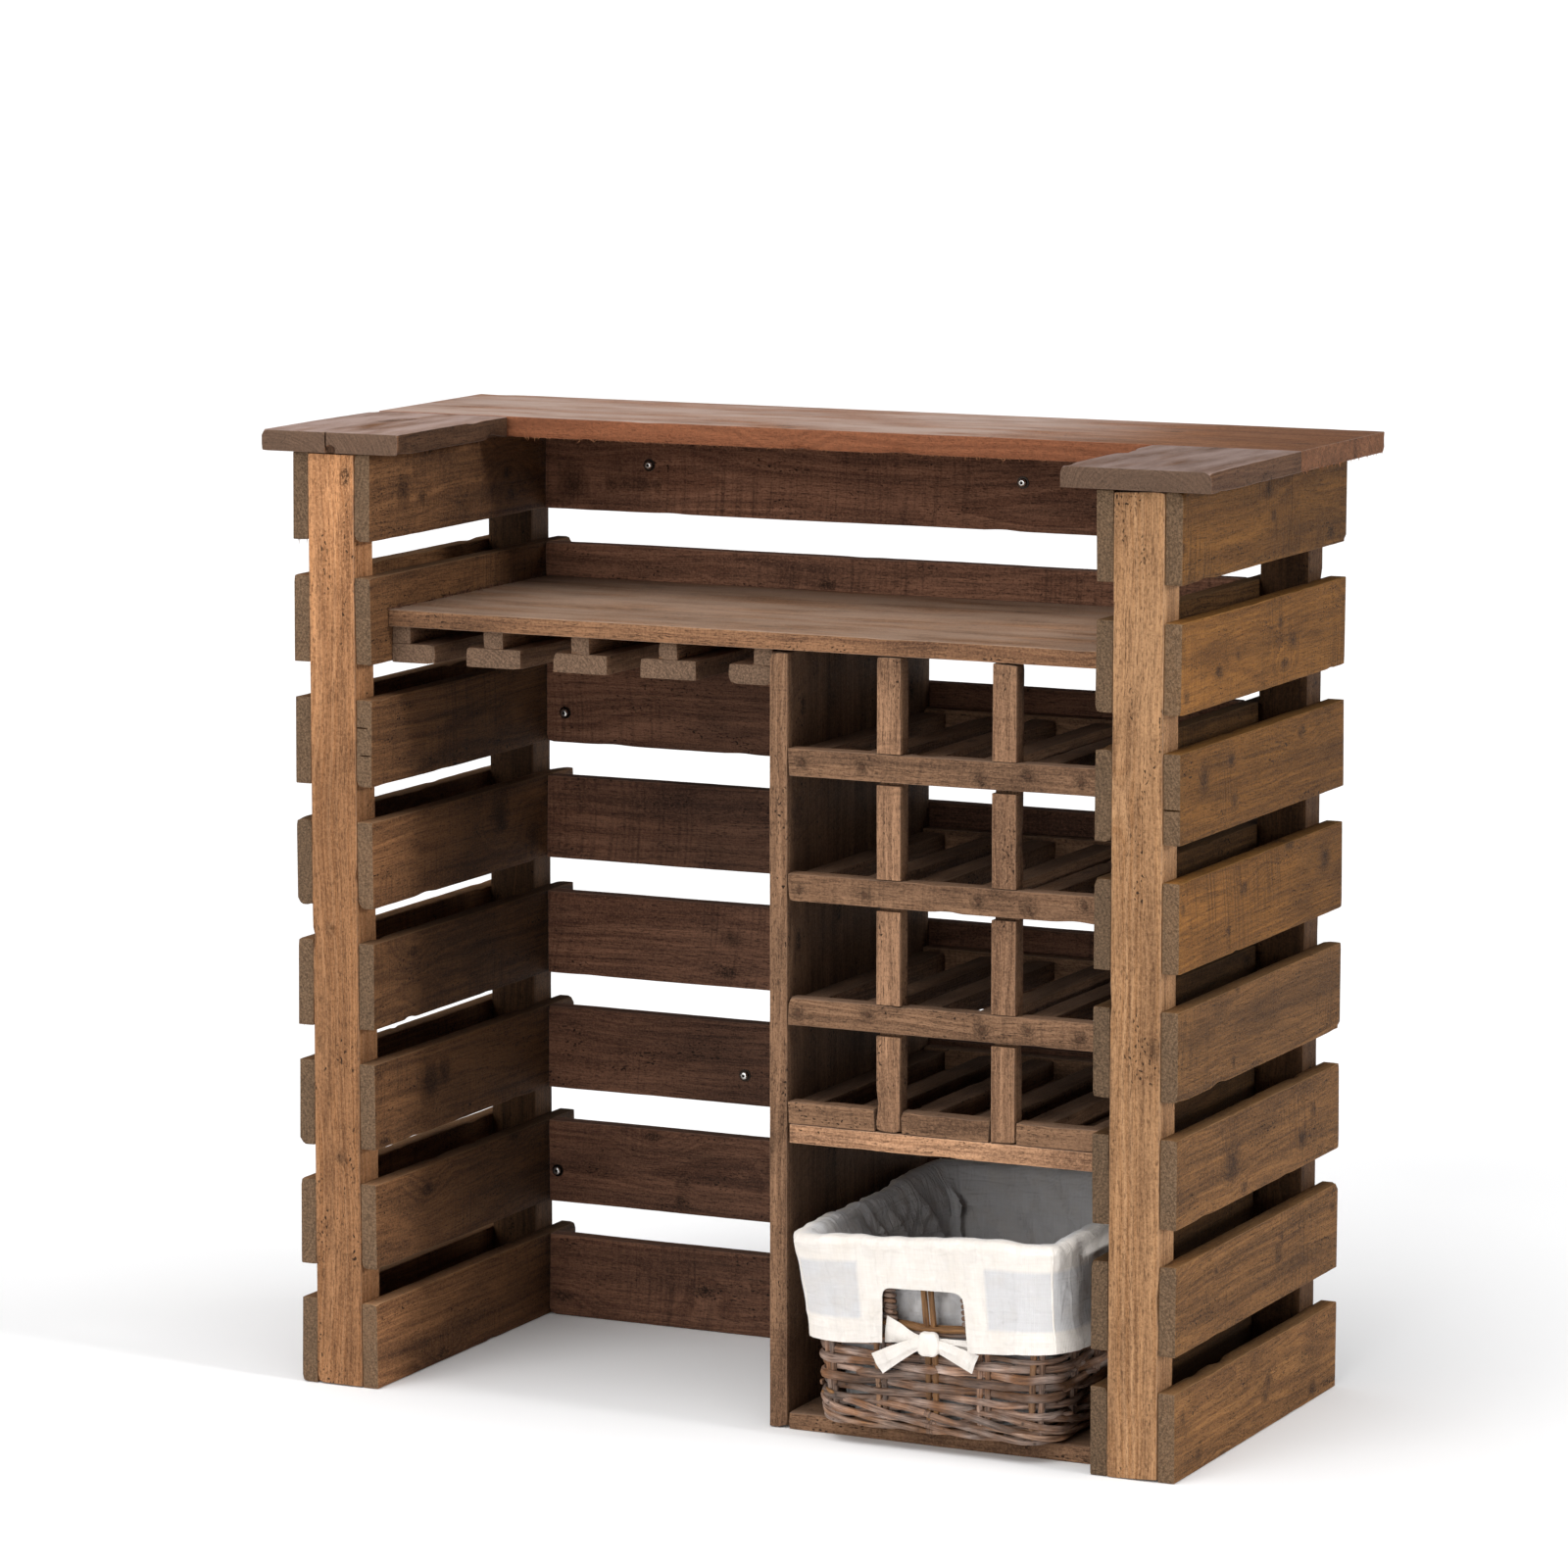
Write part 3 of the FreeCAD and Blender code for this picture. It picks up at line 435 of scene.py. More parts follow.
    # The colours that lie over the rings, from broad patches to fine fibres, then pores, specks and knots,
    # and last the dust on the top and the pale rubbed arrises
    for share, shade in (
        (cloud(grain, (4, 12, 12), 4, 0.48, 0.72, 0.7), light),
        (cloud(bent, (1.2, 42, 42), 2, 0.48, 0.72, 0.45), dark),
        (cloud(bent, (4, 150, 150), 3, 0.48, 0.74, 0.5), dark),
        (fibres, dark),
        (cloud(grain, (6, 17, 17), 5, 0.46, 0.72, stain), dark),
        (teeth, dark),
        (worked(fuzz, 0.5, 0.75, 0.55), dark),
        (worked(fuzz, 0.5, 0.25, 0.55), light),
        (pores, dark),
        (specks, "#1C110A"),
        (worked(fuzz, 0.3, 0.6, 0.9, on=knot), "#20130B"),
        (worked(fuzz, 0.25, 0.6, 0.95, 0.45, on=stained), "#26170E"),
        (cloud(grain, (7, 30, 30), 4, 0.25, 0.60, dusty, on=upward), dust),
        (worked(fuzz, 0.35, 0.7, 0.9, on=rubbed), dust),
    ):
        tint = blend(material, share, tint, shade)
    # The tone sets how light the wood is, and with it the painted light and shade laid along and behind the
    # boards
    value = worked(tone, -1.0, 2.0, 1.78, 0.22)
    tint = add(material, "HueSaturation", links={"Value": value, "Color": tint})
    # Dull ends, speckled by the fuzz and the rings
    speckle = worked(rings, 0.0, 1.0, 1.12, 0.85, on=worked(fuzz, 0.36, 0.64, 1 + rough, 1 - rough))
    speckle = worked(tone, -1.0, 1.0, 1.12, 0.88, on=speckle)
    speckle = add(material, "HueSaturation", {"Color": colour(end)}, {"Value": speckle})
    tint = blend(material, worked(ends, 0.0, 1.0, 0.85), tint, speckle)
    height = fuzz
    for groove, depth in ((fibres, -0.6), (pores, -1.2), (teeth, -0.9), (specks, -1.0)):
        height = add(material, "Math", {"operation": "MULTIPLY_ADD", 1: depth}, {0: groove, 2: height})
    relief = add(material, "Bump", {"Strength": 0.8, "Distance": 0.0009}, {"Height": height})
    shader.inputs["Specular IOR Level"].default_value = 0.15
    join_up(material, shader, Base_Color=tint, Roughness=worked(fuzz, 0.0, 1.0, 0.84, 0.6), Normal=relief)
    return material


post_wood = sawn_wood("oiled_planed_hardwood", "#C4976D", "#A87A51", "#563722", "#A98F78", "#6A5547",
                      saw=0.15, knotty=0.1)
warm_post_wood = sawn_wood("warm_planed_hardwood", "#C99468", "#AD774C", "#583620", "#AC8E75", "#6A5547",
                           saw=0.15, knotty=0.1)
# The rear posts' wood is a darker copy of the post wood, as painted shade for the inside of the panels
rear_post_wood_painted_shade = sawn_wood("dark_oiled_hardwood", "#7A5536", "#604229", "#2B1B11", "#7A624E", "#5E4C3F",
                           saw=0.4)
# Each post's wood, its tone or its tones from foot to top, and the knots on its front face: place across,
# height and radius in mm. The left front post's lighter top is painted light, and the rear posts' darker
# wood and lower tone are painted shade.
for node, wood, tone, knots in (
    ("left_front_post", warm_post_wood, (-0.05, -0.1, 0.0, 1.3),
     ((-468, 364, 5), (-454, 488, 5), (-445, 245, 7))),
    ("left_rear_post", rear_post_wood_painted_shade, -0.3, ()),
    ("right_front_post", post_wood, 0.23, ((468, 433, 8),)),
    ("right_rear_post", rear_post_wood_painted_shade, -0.3, ()),
):
    board(node, "timber", Z, wood, "post_wood", (Y, 0), knots, bite=0.003, tone=tone)

# Side slats
# Pallet boards nailed to both faces of the posts, rough from the saw and oiled brown.
# Their front ends show grey end grain beside the posts, and some are split by a nail.
side_wood = sawn_wood("oiled_rough_sawn_pallet_wood", "#896037", "#694728", "#2C1C11", "#866747", "#66523F",
                      saw=0.55)
yellow_wood = sawn_wood("yellow_oiled_pallet_wood", "#885B29", "#6B451E", "#36200C", "#886336", "#66523F",
                        saw=0.8)
left_wood = sawn_wood("brown_oiled_pallet_wood", "#89603E", "#69472D", "#2C1C14", "#86694E", "#66523F",
                      saw=0.55)
YELLOW_SLATS = [f"right_outer_slat_{number}" for number in range(1, 5)]
# Tones of the boards from the top one down, each from its front end to its rear end. The falls from front
# to rear of the inner and right outer boards are painted shade, and the bright front ends of the left inner
# boards are painted light.
SLAT_TONES_AND_PAINTED_SHADE = {
    "left_outer": (0.3, 0.9, 0.35, 0.1, 0.8, 0.2, 0.9, 0.8),
    "left_inner": (
        (0.5, 0.3, -0.1), (0.4, 0.0, -0.4), (0.7, -0.45, -0.4), (1.7, -0.35, 0.2),
        (0.3, -0.6, -0.65), (0.8, -0.2, -0.65), (1.1, -0.4, -0.85), (2.0, 1.0, -0.7),
    ),
    "right_outer": (
        (0.25, -0.3), (1.2, 0.1), (0.28, -0.05), (1.0, -0.2), (0.3, 0.1), (0.75, 0.5), (0.6, 0.3), (0.8, 0.7),
    ),
    "right_inner": [(tone, tone - 0.4) for tone in (0.2, 0.0, -0.2, -0.4, -0.5, -0.5, -0.5, -0.5)],
}
# Knots and stains on the faces towards the right: place along, height and radius in mm
SLAT_KNOTS = {
    "right_outer_slat_1": ((-3, 963, 9), (10, 935, 7), (-229, 926, 5)),
    "right_outer_slat_2": ((33, 826, 7), (68, 804, 10), (-81, 806, 5), (-217, 779, 8)),
    "right_outer_slat_3": ((-97, 703, 9), (-88, 661, 8), (-169, 693, 14)),
    "right_outer_slat_4": ((167, 567, 14), (-100, 533, 5), (-221, 573, 6)),
    "right_outer_slat_5": ((-83, 398, 6), (-74, 470, 5)),
    "right_outer_slat_6": ((-83, 295, 22), (-50, 264, 8), (111, 284, 12), (144, 307, 8)),
    "right_outer_slat_7": ((47, 175, 9), (55, 193, 5), (-124, 194, 5), (202, 195, 6)),
    "right_outer_slat_8": ((23, 48, 9), (14, 34, 8), (149, 12, 10), (-209, 62, 6), (-167, 16, 7)),
    "left_inner_slat_1": ((-159, 938, 14), (-119, 925, 8), (77, 912, 8), (67, 936, 6)),
    "left_inner_slat_4": ((46, 572, 22), (124, 534, 16)),
    "left_inner_slat_6": ((-110, 305, 20), (-80, 312, 14), (-222, 333, 5)),
}
# Splits: middle and half sizes in mm
SLAT_CRACKS = {
    "right_outer_slat_1": (((493, -4, 964), (2, 0.6, 11)),),
    "right_outer_slat_3": (((482, -232, 670), (14, 7, 0.9)),),
    "left_inner_slat_3": (((-416, -232, 697), (9, 6, 0.9)), ((-410, -232, 668), (8, 7, 0.8))),
}
for layer, tones in SLAT_TONES_AND_PAINTED_SHADE.items():
    layer_wood = left_wood if layer.startswith("left") else side_wood
    for number, tone in enumerate(tones, 1):
        node = f"{layer}_slat_{number}"
        wood = yellow_wood if node in YELLOW_SLATS else layer_wood
        board(node, "board", Y, wood, "side_slat_wood", (X, 1), SLAT_KNOTS.get(node, ()),
              SLAT_CRACKS.get(node, ()), tone=tone)

# Back slats
# One layer of darker, redder boards on the guests' side, nailed across from panel to panel.
# They are sawn rough, with strong saw marks, and painted lighter towards the left, a painted light against
# the shade there.
back_wood = sawn_wood("dark_oiled_sawn_board", "#74513E", "#5C3D2D", "#281812", "#6E574C", "#5F5048", saw=0.6)
# Knots and stains on the inner faces: place across, height and radius in mm
BACK_KNOTS = {
    "back_slat_1": ((-321, 919, 7), (-304, 920, 8), (-286, 920, 8), (-268, 919, 7), (-368, 917, 16)),
    "back_slat_5": ((-180, 434, 9),),
    "back_slat_7": ((-241, 141, 8), (-239, 161, 6)),
}
# Tones from the top slat down, each from its left end to its right end; the lighter left ends are painted
# light against the shade that falls there
BACK_TONES_AND_PAINTED_LIGHT = (
    (2.0, 1.7, 1.4, 1.15, 1.1), (2.0, 1.8, 1.4, 1.2, 1.2), (1.6, 0.2, 0.3, 0.8, 0.8),
    (1.5, -0.3, 0.0, 0.6, 0.6), (1.7, 0.4, 0.5, 0.65, 0.65), (1.4, -0.2, 0.0, 0.3, 0.3),
    (1.15, 0.1, 0.15, 0.2, 0.2), (1.1, 0.25, 0.3, 0.35, 0.35),
)
for number, tone in enumerate(BACK_TONES_AND_PAINTED_LIGHT, 1):
    node = f"back_slat_{number}"
    board(node, "board", X, back_wood, "back_slat_wood", (Y, 0), BACK_KNOTS.get(node, ()),
          nicks=4, bite=0.0016, tone=tone)

# Shelf, divider, base and rack floor
# Wider sawn boards, butted between the panels and nailed. The shelf is waxed brown and dusty, and the
# others are the same grey-brown wood as the rack's battens, with painted shade behind their front edges.
shelf_wood = sawn_wood("waxed_sawn_shelf", "#A07655", "#835C41", "#39241A", "#9E8674", "#6F5A4C",
                       saw=0.3, dusty=0.72)
rack_wood = sawn_wood("grey_brown_sawn_batten", "#A98162", "#8B674C", "#402B1F", "#957B68", "#6D5746",
                      saw=0.4, stain=0.85)
WIDE_STEP = 0.008
# Each board's node, grain, wood, slot, tone and inner, which is painted shade behind its front edge
for node, grain, wood, slot, tone, inner in (
    ("shelf_board", X, shelf_wood, "shelf_wood", (0.0, 0.5, 0.65, 0.65), 0.0),
    ("rack_divider", Z, rack_wood, "rack_wood", 0.02, 0.55),
    ("base_board", X, rack_wood, "rack_wood", 0.12, 0.4),
    ("rack_floor", X, rack_wood, "rack_wood", 1.75, 1.65),
):
    board(node, "plank", grain, wood, slot, step=WIDE_STEP, edge=0.0009, tone=tone, inner=inner)

# Counter
# Two short boards butted against a long one, in weathered wood gone grey, with a redder cut edge
# along the front of the long one.
wing_wood = sawn_wood("weathered_counter_board", "#8A6449", "#724E38", "#3A271C", "#A8928A", "#604C3E",
                      saw=0.2, dusty=0.9, rough=0.2)
long_wood = sawn_wood("reddish_counter_board", "#A67350", "#89593E", "#472B1D", "#AF9A8F", "#7E4C33",
                      saw=0.2, dusty=0.9, rough=0.2)
# Splits in the left wing, with the slit of a knot third: middle and half sizes in mm, and the turn
WING_CRACKS = (
    ((-450, -240, 994), (1.0, 14, 13), 0.1),
    ((-445, -240, 983), (7, 4, 6), 0.0),
    ((-449, -87, 1002), (10, 27, 9), -0.32),
    ((-425, -70, 1002), (1.2, 18, 2), -0.1),
)
# The dark wood along that slit: places and radii in mm
WING_KNOTS = ((-455, -105, 8), (-451, -94, 10), (-447, -82, 10), (-443, -70, 8))
# Each board's node, grain, wood, raw ends, tone, flank, swept share, splits and knots; flank is painted shade
# on the wings' sides below their tops
for node, grain, wood, raw, tone, flank, swept, splits, knots in (
    ("counter_left_wing", Y, wing_wood, None, 0.65, 1.3, 2.0, WING_CRACKS, WING_KNOTS),
    ("counter_right_wing", Y, wing_wood, None, 0.0, 0.4, 2.0, (), ()),
    ("counter_back_board", X, long_wood, ((Y, -1),), (0.6, 0.6, 0.55, -0.2), 0.0, 0.72, (), ()),
):
    board(node, "top", grain, wood, "counter_wood", (Z, 1), knots, splits, edge=0.0012, nicks=12, bite=0.003,
          raw=raw, tone=tone, flank=flank, swept=swept)


# Glass rails
# Battens under the shelf, each a foot on a narrower stem, with slots left between them.
# They are the same sawn wood as the rack, glued and nailed up from below.
def member_boxes(node):
    """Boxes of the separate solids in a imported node, lowest corner first.

    A solid's triangles follow each other, and it is whole when each of its edges has been met twice.
    """
    mesh = bpy.data.objects[node].data
    boxes = []
    corners = []
    unmatched = set()
    for polygon in mesh.polygons:
        ring = [tuple(round(c, 6) for c in mesh.vertices[v].co) for v in polygon.vertices]
        corners += ring
        for edge in zip(ring, ring[1:] + ring[:1]):
            unmatched ^= {frozenset(edge)}
        if not unmatched:
            boxes.append((Vector(np.min(corners, axis=0)), Vector(np.max(corners, axis=0))))
            corners = []
    return sorted(boxes, key=lambda box: tuple(round(c, 4) for c in box[0]))


def joined(name, pieces):
    """Several pieces as one object."""
    bpy.ops.object.select_all(action="DESELECT")
    for piece in pieces:
        piece.select_set(True)
    bpy.context.view_layer.objects.active = pieces[0]
    bpy.ops.object.join()
    pieces[0].name = name
    return pieces[0]


def battens(node, grain, tone):
    """One object of worn battens for a node that holds several of them."""
    pieces = []
    for number, (low, high) in enumerate(member_boxes(node), 1):
        pieces.append(sawn(f"{node}_batten_{number}", low, high, WIDE_STEP))
        wear_down(pieces[-1], low, high, grain, nicks=3, bite=0.002, tone=tone)
    dress(joined(f"{node}_battens", pieces), rack_wood, "cabinet", "rack_wood", node)


battens("glass_rails", Y, (0.0, -0.3))

# Rack
# Uprights and front rails are halved into each other where they cross, with the rails in front.
# Runners lie between the front and rear rails, two to a cell, and sills close the bottom cells.
LAP_ROOM = Vector((0.0003, 0.0003, 0.0003))
PAST_FACE = 10 * LAP_ROOM
LONG_RAIL = 0.2
upright_boxes = member_boxes("rack_uprights")
rail_boxes = member_boxes("rack_front_rails")
long_rails = [box for box in rail_boxes if box[1].x - box[0].x > LONG_RAIL]
lap_plane = (upright_boxes[0][0].y + upright_boxes[0][1].y) / 2
# Nail places in each front rail: near both ends and beside the uprights
NAIL_INSET = 0.013
NAIL_STRAY = 0.004
NAIL_SUNK = 0.0004
RUST_REACH = 0.0075
draw = random.Random("nails")
nail_spots = []
first_low = upright_boxes[0][0]
last_low, last_high = upright_boxes[1]
for low, high in long_rails:
    for start in (low.x, first_low.x - 2 * NAIL_INSET, last_low.x - 2 * NAIL_INSET, last_high.x,
                  high.x - 3 * NAIL_INSET):
        rise = draw.uniform(-NAIL_STRAY, NAIL_STRAY)
        across = start + (NAIL_INSET + draw.uniform(-NAIL_STRAY, NAIL_STRAY))
        nail_spots.append(Vector((across, low.y + NAIL_SUNK, (low.z + high.z) / 2 + rise)))
uprights = []
for number, (low, high) in enumerate(upright_boxes, 1):
    piece = sawn(f"rack_upright_{number}", low, high)
    for rail_low, rail_high in long_rails:
        lap = Vector((rail_high.x, lap_plane, rail_high.z))
        cut_away(piece, block("lap", rail_low - PAST_FACE, lap + LAP_ROOM))
    # The uprights are darker behind their front faces as painted shade
    wear_down(piece, low, high, Z, nicks=5, bite=0.002, tone=0.55, inner=0.5)
    uprights.append(piece)
dress(joined("rack_upright_timbers", uprights), rack_wood, "cabinet", "rack_wood", "rack_uprights")
front_rails = []
for number, (low, high) in enumerate(rail_boxes, 1):
    piece = sawn(f"rack_front_rail_{number}", low, high)
    if (low, high) in long_rails:
        for post_low, post_high in upright_boxes:
            lap = Vector((post_low.x, lap_plane, post_low.z))
            cut_away(piece, block("lap", lap - LAP_ROOM, post_high + PAST_FACE))
    rust = [(spot, RUST_REACH) for spot in nail_spots if low.z < spot.z < high.z]
    wear_down(piece, low, high, X, nicks=4, bite=0.002, stains=rust)
    front_rails.append(piece)
dress(joined("rack_front_rail_timbers", front_rails), rack_wood, "cabinet", "rack_wood", "rack_front_rails")
battens("rack_rear_rails", X, -0.3)
# The runners darken from front to rear as painted shade
battens("rack_runners", Y, (-0.15, -0.5))


# Nails
# Round wire nails, driven flush and rusted dark, hold the front rails to the uprights.
# Each head is a low dome with a hammered rim, tilted a little by the blow.
def strewn(name, model, places):
    """Copies of a model, each with its own mesh and place, joined into one piece."""
    copies = []
    for place in places:
        copy = model.copy()
        copy.data = model.data.copy()
        copy.data.transform(place)
        bpy.context.scene.collection.objects.link(copy)
        copies.append(copy)
    bpy.data.objects.remove(model)
    return joined(name, copies)


def turned(root, line, size):
    """A place at a point, turned so that up lies along a line, with sizes across, across and along."""
    turn = line.to_track_quat("Z", "Y").to_matrix().to_4x4()
    return Matrix.Translation(root) @ turn @ Matrix.Diagonal((*size, 1))


NAIL_RADIUS = 0.0024
NAIL_HIGH = 0.0012
NAIL_RIM = 0.0004
NAIL_LEAN = 0.12
bpy.ops.object.select_all(action="DESELECT")
bpy.ops.mesh.primitive_cylinder_add(vertices=14, radius=NAIL_RADIUS, depth=NAIL_HIGH)
head = bpy.context.object
bpy.ops.object.mode_set(mode="EDIT")
bpy.ops.mesh.select_all(action="SELECT")
bpy.ops.mesh.bevel(offset=NAIL_RIM, segments=2, affect="EDGES")
bpy.ops.object.mode_set(mode="OBJECT")
draw = random.Random("rail_nails")
places = []
for spot in nail_spots:
    lean = Vector((draw.uniform(-1, 1), draw.uniform(-1, 1), draw.uniform(-1, 1))) * NAIL_LEAN
    size = draw.uniform(0.8, 1.25), draw.uniform(0.8, 1.2), 1
    places.append(turned(spot, Vector((0, -1, 0)) + lean, size))
# Wire nail steel, black with rust: dull, with brown bloom about 1 mm across
nail_steel, shader = new_material("rusted_wire_nail_steel")
place = add(nail_steel, "TexCoord", out="Object")
bloom = add(nail_steel, "TexNoise", {"Scale": 900, "Detail": 3}, {"Vector": place})
tint = blend(nail_steel, bloom, "#33241B", "#6A4830")
dull = ranged(nail_steel, bloom, least=0.45, most=0.85)
relief = add(nail_steel, "Bump", {"Strength": 0.5, "Distance": 0.0003}, {"Height": bloom})
shader.inputs["Metallic"].default_value = 0.6
join_up(nail_steel, shader, Base_Color=tint, Roughness=dull, Normal=relief)
dress(strewn("rail_nails", head, places), nail_steel, "cabinet", "screw_steel")

# Splinters
# Slivers torn up by the saw, still hanging from the lower edges of the counter, the glass rails and some
# slats, and loose shreds against the shelf's left end. Each is a thin cone of the same wood as its board.
SLIVER_TONE = 0.6
SLIVER_ROOT = 0.0012
SLIVER_LEAST = 0.0015


def splinters(name, material, slot, spots, thick=0.00035):
    """Slivers of wood, each from a point along its own line, joined into one piece."""
    draw = random.Random(name)
    bpy.ops.object.select_all(action="DESELECT")
    bpy.ops.mesh.primitive_cone_add(vertices=5, radius1=1, radius2=0.2, depth=1, location=(0, 0, 0.5))
    sliver = bpy.context.object
    bpy.ops.object.transform_apply(location=True, rotation=True, scale=True)
    places = []
    for root, line in spots:
        width = thick * draw.uniform(0.6, 1.5)
        places.append(turned(root, line, (width, width, line.length)))
    piece = strewn(name, sliver, places)
    points = points_of(piece)
    mark(piece, "grain", points)
    mark(piece, "tone", np.full(len(points), SLIVER_TONE))
    dress(piece, material, "cabinet", slot)


def torn_edge(draw, start, end, count, down, longest, spread=0.8):
    """Random slivers along a line, which lean along it and hang the given way."""
    run = (end - start).normalized()
    spots = []
    for _ in range(count):
        root = start.lerp(end, draw.random()) - down * SLIVER_ROOT
        lean = run * draw.uniform(-spread, spread) + down * draw.uniform(0.3, 1)
        spots.append((root, lean.normalized() * (SLIVER_LEAST + longest * draw.random() ** 2)))
    return spots


draw = random.Random("splinters")
# The ways that slivers hang, and how far inside the worn edges they are rooted
HANG = Vector((0, -0.15, -1))
HANG_RIGHT = Vector((0.2, 0, -1))
FRONT_IN = 0.0006
END_IN = 0.0012
RAIL_IN = 0.0016
RAIL_UP = 0.0008
SLAT_IN = 0.002
SLAT_END_IN = 0.003
OFF_FLOOR = 0.005
low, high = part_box("counter_back_board")
inner_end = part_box("counter_right_wing")[0].x
front_line = low.y + FRONT_IN
end_line = high.x - END_IN
inner_edge = Vector((-inner_end, front_line, low.z)), Vector((inner_end, front_line, low.z))
end_edge = Vector((end_line, low.y, low.z)), Vector((end_line, high.y, low.z))
shreds = torn_edge(draw, *inner_edge, count=190, down=HANG, longest=0.0045, spread=1.4)
shreds += torn_edge(draw, *end_edge, count=60, down=HANG_RIGHT, longest=0.004)
splinters("counter_edge_splinters", long_wood, "counter_wood", shreds)
shreds = []
for low, high in member_boxes("glass_rails"):
    start = Vector((low.x, low.y + RAIL_IN, low.z + RAIL_UP))
    end = Vector((high.x, start.y, start.z))
    shreds += torn_edge(draw, start, end, count=14, down=HANG, longest=0.003)
splinters("glass_rail_splinters", rack_wood, "rack_wood", shreds)
shreds = []
# Slats with torn ends: the node, whether in front, how many slivers and their longest length in mm
for node, front, count, longest in (
    ("left_outer_slat_1", True, 9, 9),
    ("left_outer_slat_5", True, 7, 6),
    ("left_outer_slat_6", True, 5, 4),
    ("right_outer_slat_6", False, 5, 5),
    ("right_outer_slat_5", True, 6, 3),
    ("left_inner_slat_8", True, 8, 3),
):
    low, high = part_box(node)
    line = low.y + SLAT_END_IN if front else high.y - SLAT_END_IN
    start = Vector((low.x + SLAT_IN, line, max(low.z + SLAT_IN, OFF_FLOOR)))
    end = Vector((high.x - SLAT_IN, line, start.z))
    shreds += torn_edge(draw, start, end, count, HANG, longest / 1000, spread=0.5)
splinters("slat_end_splinters", side_wood, "side_slat_wood", shreds)
SHREDS = 70
SHRED_BAND = 0.003
SHRED_RUN = 0.34
SHRED_SUNK = 0.0005
SHRED_LONG = (0.003, 0.008)
low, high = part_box("shelf_board")
shreds = []
for _ in range(SHREDS):
    root = low.x + SHRED_BAND * draw.random(), low.y + SHRED_RUN * draw.random() ** 1.6, high.z - SHRED_SUNK
    line = Vector((draw.uniform(-0.2, 1), draw.uniform(-1, 1), draw.uniform(0.1, 0.9)))
    shreds.append((Vector(root), line.normalized() * draw.uniform(*SHRED_LONG)))
splinters("shelf_end_shreds", back_wood, "shelf_wood", shreds, thick=0.0010)

# Assembly screws
# Five domed socket screws on the inside of the back: rubbed bright zinc on the domes, black in the
# sockets and on the washers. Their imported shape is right, so they only get their finish.
DOME_HIGH = 0.0024
DOME_BLEND = 0.0002
zinc, shader = new_material("bright_zinc_plated_steel")
place = add(zinc, "TexCoord", out="Object")
haze = add(zinc, "TexNoise", {"Scale": 700, "Detail": 3}, {"Vector": place})
tint = blend(zinc, haze, "#B4B1AC", "#F2F1EE")
dome_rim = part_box("assembly_screws")[0].y + DOME_HIGH
depth = add(zinc, "SeparateXYZ", links={0: place}, out="Y")
tint = blend(zinc, ranged(zinc, depth, dome_rim - DOME_BLEND, dome_rim), tint, "#2A2420")
dull = ranged(zinc, haze, least=0.2, most=0.38)
shader.inputs["Metallic"].default_value = 1
join_up(zinc, shader, Base_Color=tint, Roughness=dull)
screws = bpy.data.objects["assembly_screws"]
screws.data.materials.clear()
screws.data.materials.append(zinc)


# Basket
# A stake-and-strand willow basket: pairs of peeled stakes, rows of barked rods woven round them,
# and a rope-like border at the foot. A hand hole in each end has its edges wound with a thinner rod.
BASKET_HEIGHT = 0.205
BASKET_TOP = (0.14475, 0.181)
BASKET_DRAW_IN = 0.012
BASKET_CORNER = 0.038
WEAVE_INSET = 0.0056
SLUMP = 0.015
LEAN = 0.007
SLUMP_FOOT = 0.100
basket_low, basket_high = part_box("basket_body")
basket_centre = (basket_low + basket_high) / 2
basket_place = np.array((basket_centre.x, basket_centre.y, basket_low.z))


def basket_halves(height, inset):
    """Half width and half depth of the basket's outline at a height, drawn in by an inset."""
    down = 1 - np.asarray(height) / BASKET_HEIGHT
    return tuple(half - BASKET_DRAW_IN * down - inset for half in BASKET_TOP)


def round_basket(share, height, inset):
    """Points and outward directions at shares of the way round, from the middle of the front towards +X."""
    share, height, inset = np.broadcast_arrays(np.asarray(share, float), height, inset)
    wide, deep = basket_halves(height, inset)
    bend = np.maximum(BASKET_CORNER - inset, 0.004)
    a = wide - bend
    b = deep - bend
    quarter = math.pi / 2 * bend
    run = (share % 1) * (4 * a + 4 * b + 4 * quarter)
    x, y, angle, start = (np.zeros_like(run) for _ in range(4))
    legs = [(a, 0, -1), (None, a, -b), (2 * b, 1, 0), (None, a, b), (2 * a, 0, 1), (None, -a, b),
            (2 * b, -1, 0), (None, -a, -b), (a, 0, -1)]
    for number, (length, p, q) in enumerate(legs):
        span = quarter if length is None else length
        on = (run >= start - 1e-9) & (run <= start + span + 1e-9)
        t = run - start
        facing = math.pi / 2 * ((number + 1) // 2 - 1)
        if length is None:
            turn = facing - math.pi / 2 + t / bend
            x = np.where(on, p + bend * np.cos(turn), x)
            y = np.where(on, q + bend * np.sin(turn), y)
            angle = np.where(on, turn, angle)
        else:
            slide = t - span / 2 if number not in (0, 8) else t - (0 if number == 0 else span)
            x = np.where(on, p * wide - q * slide, x)
            y = np.where(on, q * deep + p * slide, y)
            angle = np.where(on, facing, angle)
        start = start + span
    out = np.stack([np.cos(angle), np.sin(angle), np.zeros_like(angle)], axis=1)
    return np.stack([x, y, height], axis=1) + basket_place, out


